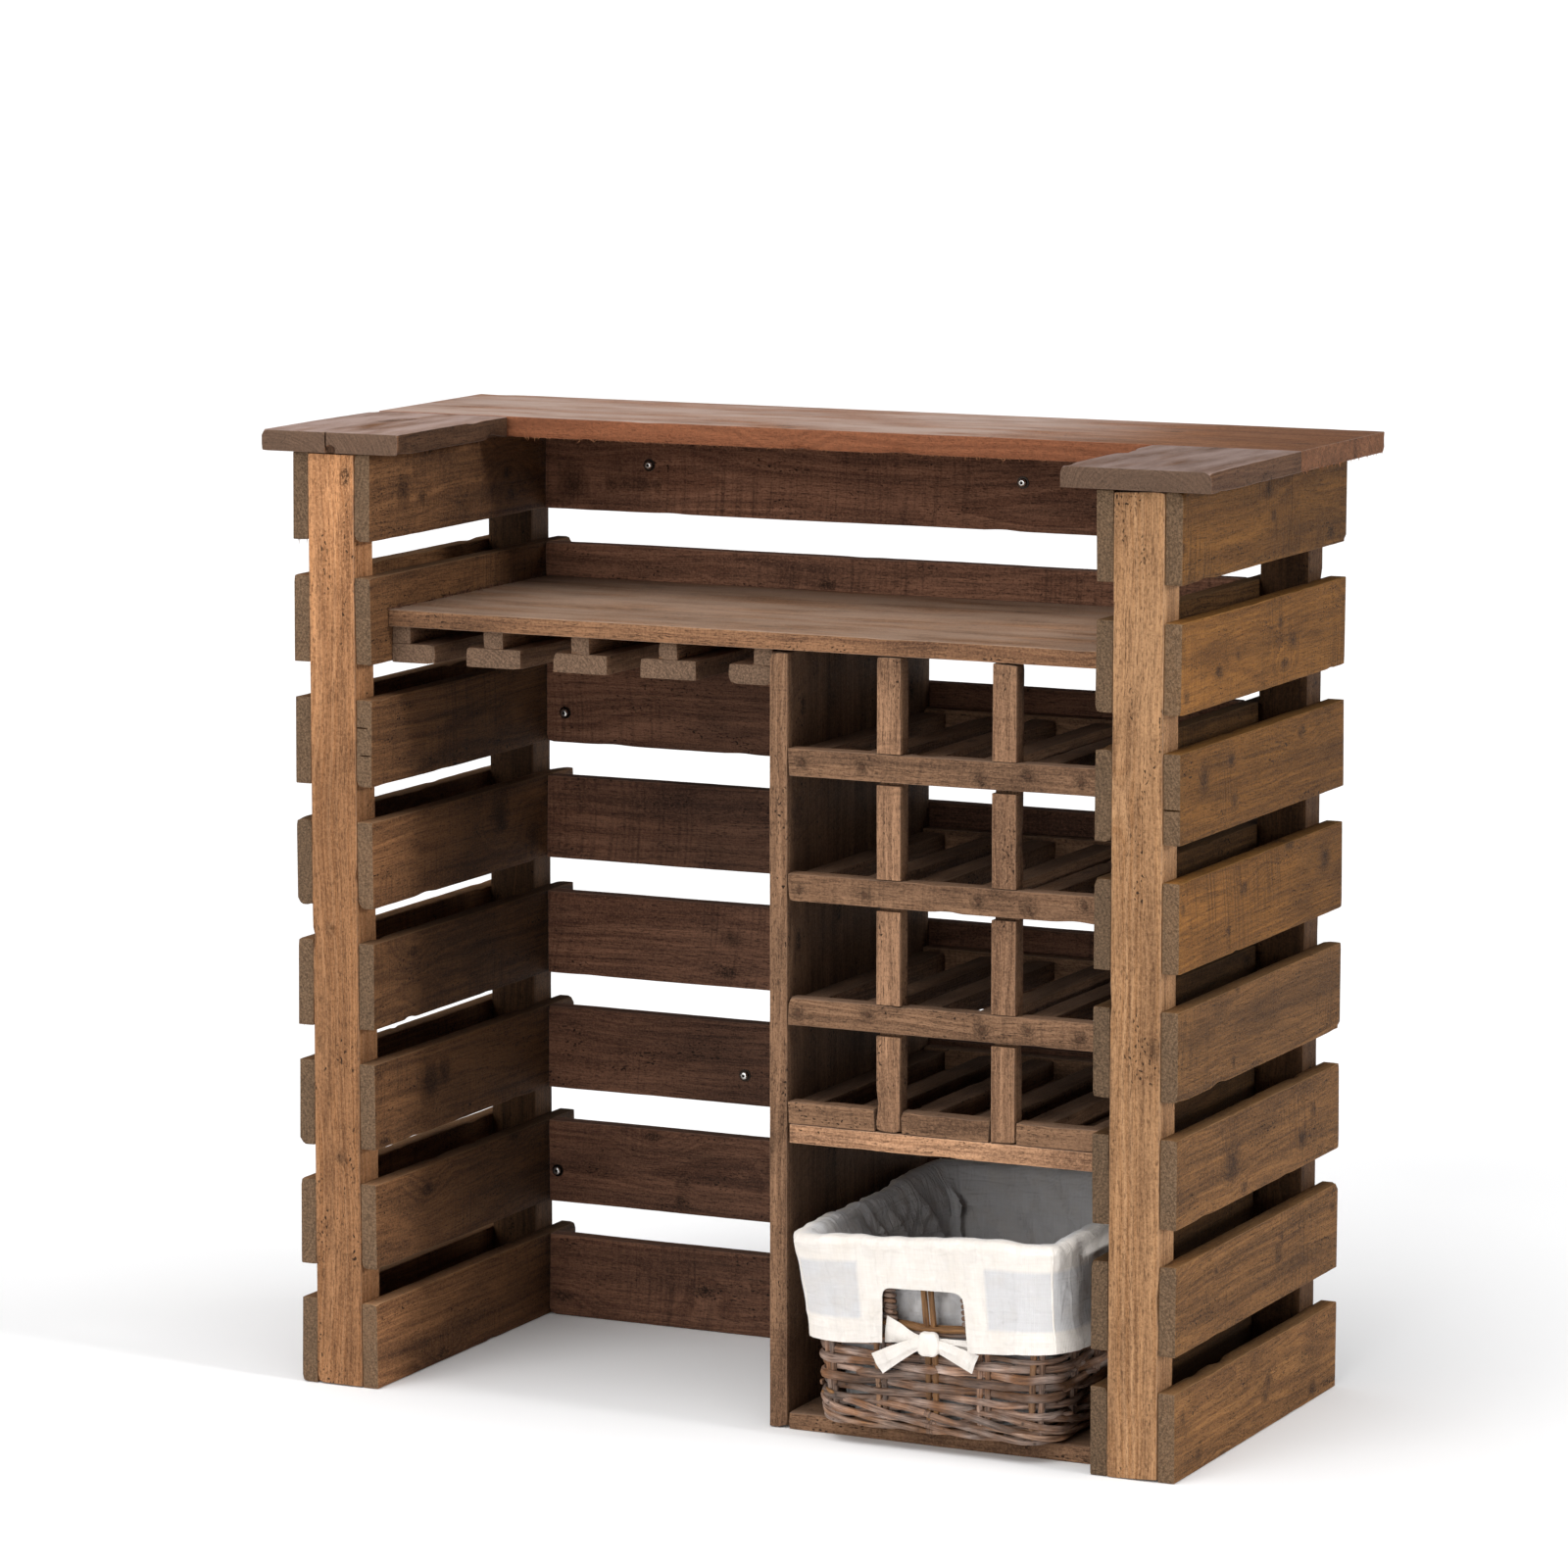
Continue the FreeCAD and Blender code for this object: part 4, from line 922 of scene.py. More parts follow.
def slumped(points):
    """Points of the basket after years of use: its rim leans left and hangs lower there, most in front."""
    offset = points - basket_place
    left = np.clip(0.5 - offset[:, 0] / (2 * BASKET_TOP[0]), 0, 1)
    front = np.clip(0.5 - offset[:, 1] / (2 * BASKET_TOP[1]), 0, 1)
    rise = np.clip((offset[:, 2] - SLUMP_FOOT) / (BASKET_HEIGHT - SLUMP_FOOT), 0, 1)
    drop = SLUMP * left ** 2 * (0.17 + 0.83 * np.sqrt(front)) * rise
    return points - np.stack([LEAN * rise, 0 * drop, drop], axis=1)


def new_bundle():
    """An empty bundle of rods or ribbons."""
    return {"points": [], "faces": [], "grain": [], "tone": []}


# A rod swells in large and small knobs, by a share and over a length, and tapers at its ends
BIG_KNOB = 0.10
BIG_KNOB_LONG = 0.022
SMALL_KNOB = 0.06
SMALL_KNOB_LONG = 0.007
TAPER_SHARE = 0.35
TAPER_LONG = 0.004


def lay_rod(bundle, line, out, wide, deep, tone, closed=False, sides=8):
    """Adds a rod to a bundle: an oval tube along a line, closed at its ends, a little knobbly."""
    count = len(line)
    step = np.roll(line, -1, axis=0) - np.roll(line, 1, axis=0)
    if not closed:
        step[0] = line[1] - line[0]
        step[-1] = line[-1] - line[-2]
    step /= np.linalg.norm(step, axis=1)[:, None]
    side = np.cross(step, out)
    side /= np.linalg.norm(side, axis=1)[:, None]
    out = np.cross(side, step)
    along = np.concatenate([[0], np.cumsum(np.linalg.norm(np.diff(line, axis=0), axis=1))])
    seed = len(bundle["points"]) * 0.37
    swell = 1 + BIG_KNOB * ripple(along / BIG_KNOB_LONG + seed)
    swell = swell + SMALL_KNOB * ripple(along / SMALL_KNOB_LONG + seed)
    if not closed:
        starts, stops = (np.clip(TAPER_SHARE + run / TAPER_LONG, 0, 1) for run in (along, along[-1] - along))
        swell *= starts * stops
    first = sum(len(p) for p in bundle["points"])
    turns = 2 * math.pi * np.arange(sides) / sides
    outwards = deep * np.cos(turns)
    sideways = wide * np.sin(turns)
    ring = out[:, None] * outwards[None, :, None] + side[:, None] * sideways[None, :, None]
    bundle["points"].append((line[:, None] + ring * swell[:, None, None]).reshape(-1, 3))
    for row in range(count if closed else count - 1):
        here = first + row * sides
        there = first + (row + 1) % count * sides
        for n in range(sides):
            m = (n + 1) % sides
            bundle["faces"].append((here + n, here + m, there + m, there + n))
    if not closed:
        bundle["faces"].append(tuple(first + n for n in reversed(range(sides))))
        bundle["faces"].append(tuple(first + (count - 1) * sides + n for n in range(sides)))
    place = [np.repeat(along, sides) + seed, np.tile(outwards, count) + seed, np.tile(sideways, count)]
    bundle["grain"].append(np.stack(place, axis=1))
    bundle["tone"].append(np.full(count * sides, tone))


def bundle_mesh(name, bundle, place="grain", tone="tone"):
    """One object from a bundle, facing outwards, with its places and tones marked by the given names."""
    mesh = bpy.data.meshes.new(name)
    mesh.from_pydata(np.concatenate(bundle["points"]).tolist(), [], bundle["faces"])
    piece = bpy.data.objects.new(name, mesh)
    bpy.context.scene.collection.objects.link(piece)
    work = bmesh.new()
    work.from_mesh(mesh)
    bmesh.ops.recalc_face_normals(work, faces=work.faces)
    work.to_mesh(mesh)
    work.free()
    mark(piece, place, np.concatenate(bundle["grain"]))
    mark(piece, tone, np.concatenate(bundle["tone"]))
    return piece


def willow():
    """Barked and peeled willow: grey-brown skin in streaks, orange where peeled, with leaf scars."""
    material, shader = new_material("barked_and_peeled_willow")
    grain = add(material, "Attribute", {"attribute_name": "grain"}, out="Vector")
    tone = add(material, "Attribute", {"attribute_name": "tone"}, out="Fac")
    bark = {"interpolation_type": "SMOOTHSTEP", "From Min": 0.25, "From Max": 0.5}
    barked = add(material, "MapRange", bark, {"Value": tone})
    # Streaks about 2 mm wide run along the rod, over patches about 30 mm long
    thin = add(material, "Mapping", {"Scale": (40, 450, 450)}, {"Vector": grain})
    streak = add(material, "TexNoise", {"Scale": 1, "Detail": 4, "Roughness": 0.65}, {"Vector": thin})
    streak = ranged(material, streak, 0.3, 0.7)
    patch = add(material, "TexNoise", {"Scale": 33, "Detail": 3}, {"Vector": grain})
    patch = ranged(material, patch, 0.35, 0.65)
    peel = blend(material, streak, "#55361F", "#A4784C")
    grey = blend(material, streak, "#41322A", "#BEA79A")
    warm = blend(material, streak, "#442B1D", "#9C6F4D")
    tint = blend(material, barked, peel, blend(material, patch, grey, warm))
    # Each rod has a shade of its own, which drifts over about 150 mm
    shade = add(material, "TexNoise", {"Scale": 7, "Detail": 1}, {"Vector": grain})
    shade = ranged(material, shade, 0.32, 0.68, 1.3, 0.38)
    bleach = ranged(material, tone, 1.0, 1.5, 1.4, 1.0)
    shade = add(material, "Math", {"operation": "MULTIPLY"}, {0: shade, 1: bleach})
    tint = add(material, "HueSaturation", links={"Value": shade, "Color": tint})
    scar = add(material, "TexVoronoi", {"Scale": 70}, {"Vector": grain}, "Distance")
    scar = ranged(material, scar, 0.16, 0.05, 0.8)
    tint = blend(material, scar, tint, "#2A1D15")
    height = add(material, "Math", {"operation": "SUBTRACT"}, {0: streak, 1: scar})
    relief = add(material, "Bump", {"Strength": 0.7, "Distance": 0.0008}, {"Height": height})
    dull = ranged(material, streak, least=0.5, most=0.75)
    shader.inputs["Specular IOR Level"].default_value = 0.3
    join_up(material, shader, Base_Color=tint, Roughness=dull, Normal=relief)
    return material


STAKES = 20
STAKE_SPREAD = 0.0040
STAKE_WIDE = (0.0030, 0.0037)
STAKE_DEEP = 0.0029
STAKE_ENDS = (0.004, BASKET_HEIGHT - 0.006)
STAKE_POINTS = 34
STAKE_LEAN = 0.0012
ROW_FOOT = 0.032
ROW_PITCH = 0.0094
ROD_WIDE = 0.0044
ROD_DEEP = 0.0034
ROD_SIZES = (0.75, 1.18)
ROD_TONES = (0.1, 0.3, 0.5, 0.7, 0.85, 1.0, 1.3)
ROW_STRAY = 0.0022
ROW_TREMBLE = 0.0014
TIP_OUT = 0.0045
TIP_LONG = 0.016
WEAVE_SWING = 0.0038
UNDER_CUFF = 0.086
UNDER_CUFF_SIZE = 0.6
RIM_ROOM = 0.012
HOLE_ROOM = 0.002
HOLE_LOW = 0.114
HOLE_HIGH = 0.158
HOLE_HALF = 0.041
draw = random.Random("basket")
weave = new_bundle()
basket_round = float(4 * sum(basket_halves(HOLE_LOW, 0)) - (8 - 2 * math.pi) * BASKET_CORNER)
for stake in range(STAKES):
    for side in (-1, 1):
        heights = np.linspace(*STAKE_ENDS, STAKE_POINTS)
        lean = draw.uniform(-STAKE_LEAN, STAKE_LEAN)
        share = stake / STAKES + (side * STAKE_SPREAD + lean * np.sin(heights * 30)) / basket_round
        line, out = round_basket(share, heights, WEAVE_INSET)
        peeled = stake % (STAKES // 2) == 0
        tone = draw.uniform(0, 0.22) if peeled else draw.choice((0.15, 0.35, 0.6, 0.9))
        lay_rod(weave, line, out, draw.uniform(*STAKE_WIDE), STAKE_DEEP, tone)


def weaver(first, last, height, swap):
    """One rod in and out of the stakes, from one share of the way round to another."""
    count = max(6, int((last - first) * STAKES * 9))
    share = np.linspace(first, last, count)
    seed = draw.uniform(0, 500)
    swing = np.cos(math.pi * STAKES * share + math.pi * swap)
    heights = height + ROW_STRAY * ripple(share * 13 + seed) + ROW_TREMBLE * ripple(share * 41 + seed)
    covered = UNDER_CUFF_SIZE if height > UNDER_CUFF else 1.0
    inset = WEAVE_INSET - covered * WEAVE_SWING * swing * (0.9 + 0.4 * ripple(share * 23 + seed))
    tip = covered * TIP_OUT * draw.choice((-1, 1, 1))
    inset = inset - tip * smooth_fall((share - first) * basket_round, TIP_LONG)
    line, out = round_basket(share, heights, inset)
    size = covered * draw.uniform(*ROD_SIZES)
    lay_rod(weave, line, out, ROD_WIDE * size, ROD_DEEP * size, draw.choice(ROD_TONES))


# Beside the hand holes a row is a rod on each side, and elsewhere two rods that overlap a little
for row in range(int((BASKET_HEIGHT - RIM_ROOM - ROW_FOOT) / ROW_PITCH)):
    height = ROW_FOOT + row * ROW_PITCH
    if HOLE_LOW - HOLE_ROOM < height < HOLE_HIGH + HOLE_ROOM:
        gap = HOLE_HALF / basket_round
        weaver(gap, 0.5 - gap, height, row % 2)
        weaver(0.5 + gap, 1 - gap, height, row % 2)
    else:
        joint = draw.uniform(0, 1)
        middle = joint + draw.uniform(0.35, 0.6)
        weaver(joint, middle + 0.012, height, row % 2)
        weaver(middle - 0.004, joint + 1.008, height, row % 2)

# The foot is a rope of rods that climb over each other, thin below and thick above, and the rim is another
for height, strands, rise, swing, wide, tones in (
    (0.0100, 4, 0.0058, 0.0034, 0.0029, (0.35, 0.55)),
    (0.0215, 4, 0.0080, 0.0040, 0.0036, (1.0, 1.5)),
    (BASKET_HEIGHT - 0.0075, 3, 0.0030, 0.0030, 0.0034, (0.3, 1.0)),
):
    for strand in range(strands):
        share = np.linspace(0, 1, 161)[:-1]
        turn = 2 * math.pi * (share * STAKES / strands + strand / strands)
        stray = 0.0016 * ripple(share * 19 + 50 * strand + 900 * height)
        heights = height + stray + rise * np.cos(turn)
        line, out = round_basket(share, heights, WEAVE_INSET - swing * np.sin(turn))
        lay_rod(weave, line, out, wide, wide, draw.uniform(*tones), closed=True)

# Cut ends of rods stick out between the rows, most of them near the corners
STUBS = 46
STUB_POINTS = 8
STUB_CORNERS = (0.14, 0.36, 0.64, 0.86)
STUB_STRAY = 0.035
STUB_SHARES = (0.012, 0.02)
STUB_HEIGHTS = (0.016, 0.086)
STUB_TILT = 0.004
STUB_ROOT = 0.001
STUB_OUT = (0.004, 0.0085)
STUB_WIDE = (0.0018, 0.0030)
STUB_DEEP = 0.0022
STUB_TONES = (0.1, 0.6, 0.9, 1.0)
for _ in range(STUBS):
    corner = draw.choice((*STUB_CORNERS, draw.random()))
    start = corner + draw.uniform(-STUB_STRAY, STUB_STRAY)
    share = start + np.linspace(0, draw.uniform(*STUB_SHARES), STUB_POINTS)
    height = draw.uniform(*STUB_HEIGHTS) + np.linspace(0, draw.uniform(-STUB_TILT, STUB_TILT), STUB_POINTS)
    stand_off = np.linspace(STUB_ROOT, draw.uniform(*STUB_OUT), STUB_POINTS)
    line, out = round_basket(share, height, WEAVE_INSET - stand_off)
    lay_rod(weave, line, out, draw.uniform(*STUB_WIDE), STUB_DEEP, draw.choice(STUB_TONES))

# Hand holes: a rod wound round each side, and border rods above and below
WRAP_TURN = 0.0062
WRAP_STEPS = 10
WRAP_PAST = 0.004
WRAP_MIDDLE = 0.0022
WRAP_ACROSS = 0.0044
WRAP_DEEP = 0.0042
BORDER_POINTS = 24
HOLE_BORDERS = ((HOLE_LOW - 0.0015, 0.001), (HOLE_LOW - 0.0015, 0.009), (HOLE_HIGH + 0.0015, 0.001))
for end in (0, 0.5):
    for side in (-1, 1):
        turns = np.arange(0, (HOLE_HIGH - HOLE_LOW + 2 * WRAP_PAST) / WRAP_TURN * WRAP_STEPS) / WRAP_STEPS
        across = HOLE_HALF + WRAP_MIDDLE + WRAP_ACROSS * np.cos(2 * math.pi * turns)
        inset = WEAVE_INSET + WRAP_DEEP * np.sin(2 * math.pi * turns)
        heights = HOLE_LOW - WRAP_PAST + turns * WRAP_TURN
        line, out = round_basket(end + side * across / basket_round, heights, inset)
        lay_rod(weave, line, out, 0.0028, 0.0024, draw.uniform(0.3, 0.7))
    for height, inset in HOLE_BORDERS:
        reach = (HOLE_HALF + 0.012) / basket_round
        share = np.linspace(end - reach, end + reach, BORDER_POINTS)
        sag = 0.0015 * np.cos(np.linspace(-math.pi, math.pi, BORDER_POINTS))
        line, out = round_basket(share, height - sag, inset + 0.0022)
        lay_rod(weave, line, out, 0.0034, 0.0030, draw.uniform(0, 0.3))

# The base: rods side by side from front to rear, woven over and under pairs of cross sticks
BASE_RODS = 24
BASE_STICKS = 6
BASE_MIDDLE = 0.0062
base_wide, base_deep = basket_halves(0.005, 0.010)
for number in range(BASE_RODS):
    x = base_wide * (2 * (number + 0.5) / BASE_RODS - 1)
    reach = base_deep - max(0.0, abs(x) - (base_wide - 0.028))
    y = np.linspace(-reach, reach, 60)
    z = BASE_MIDDLE + 0.0022 * np.cos(math.pi * (y / base_deep * BASE_STICKS / 2 + number))
    line = np.stack([x + 0 * y, y, z], axis=1) + basket_place
    lay_rod(weave, line, np.tile([0.0, 0.0, 1.0], (60, 1)), 0.0046, 0.0022, draw.uniform(0.2, 1))
for number in range(BASE_STICKS + 1):
    y = base_deep * (2 * number / BASE_STICKS - 1) * 0.98
    x = np.linspace(-base_wide, base_wide, 20) * (0.97 if 0 < number < BASE_STICKS else 0.75)
    line = np.stack([x, y + 0 * x, BASE_MIDDLE + 0 * x], axis=1) + basket_place
    lay_rod(weave, line, np.tile([0.0, 0.0, 1.0], (20, 1)), 0.0045, 0.0020, draw.uniform(0, 0.3))
basket = bundle_mesh("basket_weave", weave)
move_points(basket, slumped(points_of(basket)))
dress(basket, willow(), "basket", "wicker", "basket_body")

# Basket liner
# A loose cotton bag that hangs in the basket, turned over the rim into a cuff. The cuff is doubled
# at the hem, at the rim and round the notch that leaves each hand hole open.
CUFF_HEM = 0.090
CUFF_OUT = 0.0026
BAG_INSET = 0.0145
BAG_FLOOR = 0.0125
RIM_HEIGHT = 0.2010
RIM_RISE = 0.0085
NOTCH_HALF = 0.044
NOTCH_TOP = 0.155
NOTCH_BEND = 0.009
NOTCH_FLARE = 0.003
COLUMN = 0.004
FLAT_COLUMNS = 19
ROW_STEP = 0.005
FLOOR_SHARES = (0.88, 0.74, 0.6, 0.46, 0.32, 0.18)


def liner_ring(height, inset):
    """One ring of the liner's grid: points and outward directions, from the middle of the front."""
    wide, deep = (float(v) for v in basket_halves(height, inset))
    bend = BASKET_CORNER - inset
    a = wide - bend
    b = deep - bend
    near = np.arange(FLAT_COLUMNS) * COLUMN
    x = np.concatenate([near, np.linspace(near[-1], a, 7)[1:]])
    turn = np.linspace(-math.pi / 2, 0, 11)[1:]
    y = np.linspace(-b, 0, 30)[1:]
    front = np.stack([x, np.full_like(x, -deep), np.zeros_like(x), np.full_like(x, -1)], axis=1)
    corner = np.stack([a + bend * np.cos(turn), -b + bend * np.sin(turn), np.cos(turn), np.sin(turn)], axis=1)
    flank = np.stack([np.full_like(y, wide), y, np.ones_like(y), np.zeros_like(y)], axis=1)
    quarter = np.concatenate([front, corner, flank])
    half = np.concatenate([quarter, quarter[-2::-1] * (1, -1, 1, -1)])
    ring = np.concatenate([half, half[-2:0:-1] * (-1, 1, -1, 1)])
    points = np.stack([ring[:, 0], ring[:, 1], np.full(len(ring), height)], axis=1)
    return points, np.stack([ring[:, 2], ring[:, 3], np.zeros(len(ring))], axis=1)


# The cloth's outline from the hem up, over the rim, down inside and in to the floor
rim_turns = np.linspace(0, math.pi, 10)
rim_middle = (BAG_INSET - CUFF_OUT) / 2
rim_half = (BAG_INSET + CUFF_OUT) / 2
profile = [(height, -CUFF_OUT) for height in np.arange(CUFF_HEM, RIM_HEIGHT, ROW_STEP)]
rim_row = len(profile) + len(rim_turns) // 2
profile += [(RIM_HEIGHT + RIM_RISE * math.sin(t), rim_middle - rim_half * math.cos(t)) for t in rim_turns]
profile += [(height, BAG_INSET) for height in np.arange(RIM_HEIGHT - ROW_STEP, BAG_FLOOR + 0.006, -ROW_STEP)]
profile += [(BAG_FLOOR + 0.0020, BAG_INSET + 0.0015), (BAG_FLOOR, BAG_INSET + 0.0060)]
rings = [liner_ring(*step) for step in profile]
grid = np.array([points for points, out in rings])
facing = np.array([out for points, out in rings])
floor_rings = np.array([grid[-1] * (share, share, 1) for share in FLOOR_SHARES])
# Lengths along the cloth: u round the rim and v from the hem
around = np.linalg.norm(np.roll(grid[rim_row], -1, axis=0) - grid[rim_row], axis=1)
u = np.broadcast_to(np.concatenate([[0], np.cumsum(around)[:-1]]), grid.shape[:2])
down = np.linalg.norm(np.diff(grid, axis=0), axis=2).mean(axis=1)
v = np.broadcast_to(np.concatenate([[0], np.cumsum(down)])[:, None], grid.shape[:2])
flat_u = u.ravel()
flat_v = v.ravel()
rows, columns = u.shape
heights = grid[:, :, 2]
outside = np.arange(rows)[:, None] < rim_row + np.zeros((1, columns))
corner_near = smooth_fall(np.abs(np.abs(facing[:, :, 0]) - np.abs(facing[:, :, 1])), 1.0)
rim_round = float(around.sum())


def fold_noise(width, length, slant=0.0, seed=0.0):
    """Noise over the cloth with folds so wide and so long, which closes on itself round the basket."""
    turn = 2 * math.pi * (flat_u + slant * flat_v) / rim_round
    reach = rim_round / (2 * math.pi * width)
    waves = ripple(reach * np.cos(turn) + seed, reach * np.sin(turn), flat_v / length)
    return waves.reshape(rows, columns)


# The cuff hangs in soft upright folds and stands off a little at its hem, most on the right, and the bag
# creases at its corners. Widths, lengths and depths are in metres
folds = fold_noise(0.050, 0.16)
small = fold_noise(0.017, 0.09, seed=40)
level_creases = fold_noise(0.085, 0.011, seed=80)
slanted = fold_noise(0.020, 0.12, slant=0.33, seed=20)
ridges = (1 - np.abs(fold_noise(0.034, 0.15, slant=0.64, seed=60))) ** 4
tucks = (1 - np.abs(fold_noise(0.030, 0.10, slant=-0.75, seed=5))) ** 5
hem_wave = fold_noise(0.075, 1.0, seed=7)
hem_near = smooth_fall(heights - CUFF_HEM, 0.05) * outside
rim_near = smooth_fall(np.abs(v - v[rim_row]), 0.045)
right_hand = np.clip(0.5 + grid[:, :, 0] / (2 * BASKET_TOP[0]), 0, 1)
lift = 0.0024 * (1 + folds) + 0.0014 * (1 + small) + 0.0014 * level_creases * rim_near
lift = lift + hem_near * (0.0016 + 0.0032 * folds + 0.0040 * right_hand)
lift = lift + 0.0022 * tucks * (0.4 + rim_near) + 0.0026 * corner_near ** 3 * (0.5 + rim_near)
sink = 0.0030 * (1 + folds) + (0.0020 + 0.0040 * corner_near) * (1 + slanted) + 0.0018 * small
sink = sink + (0.0080 + 0.0130 * corner_near) * ridges + (0.0035 + 0.0080 * corner_near) * tucks
drape = np.where(outside, lift, -sink * (1 - rim_near))
grid = grid + facing * drape[:, :, None]
grid[:, :, 2] += hem_near * (0.0036 * hem_wave + 0.0095 * right_hand)
grid[:, :, 2] += rim_near * (0.0034 * folds + 0.0018 * small)
crumple = ripple(floor_rings[:, :, 0].ravel() / 0.03, floor_rings[:, :, 1].ravel() / 0.05)
floor_rings[:, :, 2] += 0.0012 * (1 + crumple.reshape(floor_rings.shape[:2]))

# The notch has round upper corners, and its ties pull its sides apart at the hem
side_x = np.abs(grid[:, :, 0])
on_end_walls = np.abs(facing[:, :, 1]) > 0.99
on_ends = outside * on_end_walls
across = side_x - NOTCH_HALF + NOTCH_BEND
above = heights - NOTCH_TOP + NOTCH_BEND
widest = np.maximum(across, above)
in_bend = on_ends * (np.minimum(across, above) > 0) * (widest < NOTCH_BEND + 1e-4)
pulled = np.where(in_bend > 0, widest / np.maximum(np.hypot(across, above), 1e-6), 1) - 1
spread = NOTCH_FLARE * np.clip((NOTCH_TOP - heights) / (NOTCH_TOP - CUFF_HEM), 0, 1) * on_ends
spread = spread * smooth_fall(np.abs(across - NOTCH_BEND), 0.02)
sides = np.sign(grid[:, :, 0]) * (across * pulled + spread)
shaped = grid + np.stack([sides, 0 * sides, above * pulled], axis=2)
sheet_points = np.concatenate([shaped, floor_rings]).reshape(-1, 3)
sheet_points = np.concatenate([sheet_points, [[0, 0, BAG_FLOOR + 0.001]]])
sheet_points = slumped(sheet_points + basket_place)
last_row = rows + len(FLOOR_SHARES) - 1
faces = []
for row in range(last_row):
    for column in range(columns):
        other = (column + 1) % columns
        if row < rim_row and profile[row + 1][0] < NOTCH_TOP + 1e-6:
            flat_side = on_end_walls[row, column] and on_end_walls[row, other]
            if flat_side and max(side_x[row, column], side_x[row, other]) < NOTCH_HALF + 1e-4:
                continue
        here = row * columns
        there = here + columns
        faces.append((here + column, here + other, there + other, there + column))
centre_point = len(sheet_points) - 1
last = last_row * columns
faces += [(last + column, last + (column + 1) % columns, centre_point) for column in range(columns)]
mesh = bpy.data.meshes.new("basket_liner_cloth")
mesh.from_pydata(sheet_points.tolist(), [], faces)
liner = bpy.data.objects.new("basket_liner_cloth", mesh)
bpy.context.scene.collection.objects.link(liner)

# Where the cloth is doubled: the hem, the rim and a frame round each notch, each ending in a sewn step
HEM_BAND = 0.028
RIM_BAND = 0.020
FRAME_BAND = 0.027
SEWN_STEP = 0.002
hem_double = np.clip((CUFF_HEM + HEM_BAND - heights) / SEWN_STEP, 0, 1)
rim_double = np.clip((heights - RIM_HEIGHT + RIM_BAND) / SEWN_STEP, 0, 1)
frame_across = np.clip((NOTCH_HALF + FRAME_BAND - side_x) / SEWN_STEP, 0, 1) * on_end_walls
frame_up = np.clip((heights - CUFF_HEM + 0.01) / SEWN_STEP, 0, 1)
double = np.maximum(np.maximum(hem_double, rim_double), frame_across * frame_up) * outside
extra = len(sheet_points) - rows * columns
mark(liner, "layers", np.concatenate([double.ravel(), np.zeros(extra)]))
mirrored = np.minimum(flat_u, rim_round - flat_u)
weave_place = np.stack([mirrored, flat_v, 0.02 * np.sin(2 * math.pi * flat_u / rim_round)], axis=1)
mark(liner, "cloth", np.concatenate([weave_place, sheet_points[rows * columns:]]))


def cotton():
    """Unbleached plain-weave cotton: creamy where doubled, thin and greyer where single, that grey a painted
    shade of the dark behind it, matt and slubby, with painted shade in its creases.
    """
    material, shader = new_material("unbleached_plain_weave_cotton")
    place = add(material, "Attribute", {"attribute_name": "cloth"}, out="Vector")
    layers = add(material, "Attribute", {"attribute_name": "layers"}, out="Fac")
    plus = {"operation": "ADD"}
    # Threads lie 0.5 mm apart, too fine to show, so they are drawn 1.2 mm apart, and slubs are 30 mm long
    thread = {"wave_type": "BANDS", "Scale": 2 * math.pi / 20 / 0.0012, "Distortion": 0.6, "Detail": 1}
    threads = []
    slubs = []
    for way, fine in (("X", (30, 500, 1)), ("Y", (500, 30, 1))):
        threads.append(add(material, "TexWave", {"bands_direction": way, **thread}, {"Vector": place}, "Fac"))
        drawn = add(material, "Mapping", {"Scale": fine}, {"Vector": place})
        slubs.append(add(material, "TexNoise", {"Scale": 1, "Detail": 2}, {"Vector": drawn}))
    cross = add(material, "Math", plus, {0: threads[0], 1: threads[1]})
    slub = add(material, "Math", plus, {0: slubs[0], 1: slubs[1]})
    slub = ranged(material, slub, 0.5, 1.5)
    blotch = add(material, "TexNoise", {"Scale": 40, "Detail": 3}, {"Vector": place})
    # Single cloth is greyer than doubled, a painted shade of the dark wicker showing through it
    thin = blend(material, slub, "#D1CFCF", "#DDDCDD")
    thick = blend(material, slub, "#ECE4DB", "#F6F0E9")
    aged = ranged(material, blotch, 0.45, 0.75, 0.25)
    tint = blend(material, aged, blend(material, layers, thin, thick), "#D9CBB8")
    height = add(material, "Math", {"operation": "MULTIPLY_ADD", 1: 0.3}, {0: slub, 2: cross})
    height = add(material, "Math", {"operation": "MULTIPLY_ADD", 1: 3}, {0: layers, 2: height})
    # Creases about 8 mm wide and 40 mm long, some upright and some level, in the relief and as painted shade
    painted_crease_shade = blotch
    for fine in ((120, 22, 1), (20, 110, 1), (70, 50, 1)):
        drawn = add(material, "Mapping", {"Scale": fine}, {"Vector": place})
        fold = add(material, "TexNoise", {"Scale": 1, "Detail": 1, "Distortion": 0.6}, {"Vector": drawn})
        fold = ranged(material, fold, 0.46, 0.66, 3.2)
        height = add(material, "Math", plus, {0: fold, 1: height})
        painted_crease_shade = add(material, "Math", plus, {0: fold, 1: painted_crease_shade})
    # Painted shade: the cloth is greyed where the creases gather
    tint = blend(material, ranged(material, painted_crease_shade, 1.5, 7.0, 0.16), tint, "#C2BCB8")
    relief = add(material, "Bump", {"Strength": 0.7, "Distance": 0.0004}, {"Height": height})
    shader.inputs["Roughness"].default_value = 0.92
    shader.inputs["Sheen Weight"].default_value = 0.25
    join_up(material, shader, Base_Color=tint, Normal=relief)
    return material


CLOTH_THICK = 0.0009


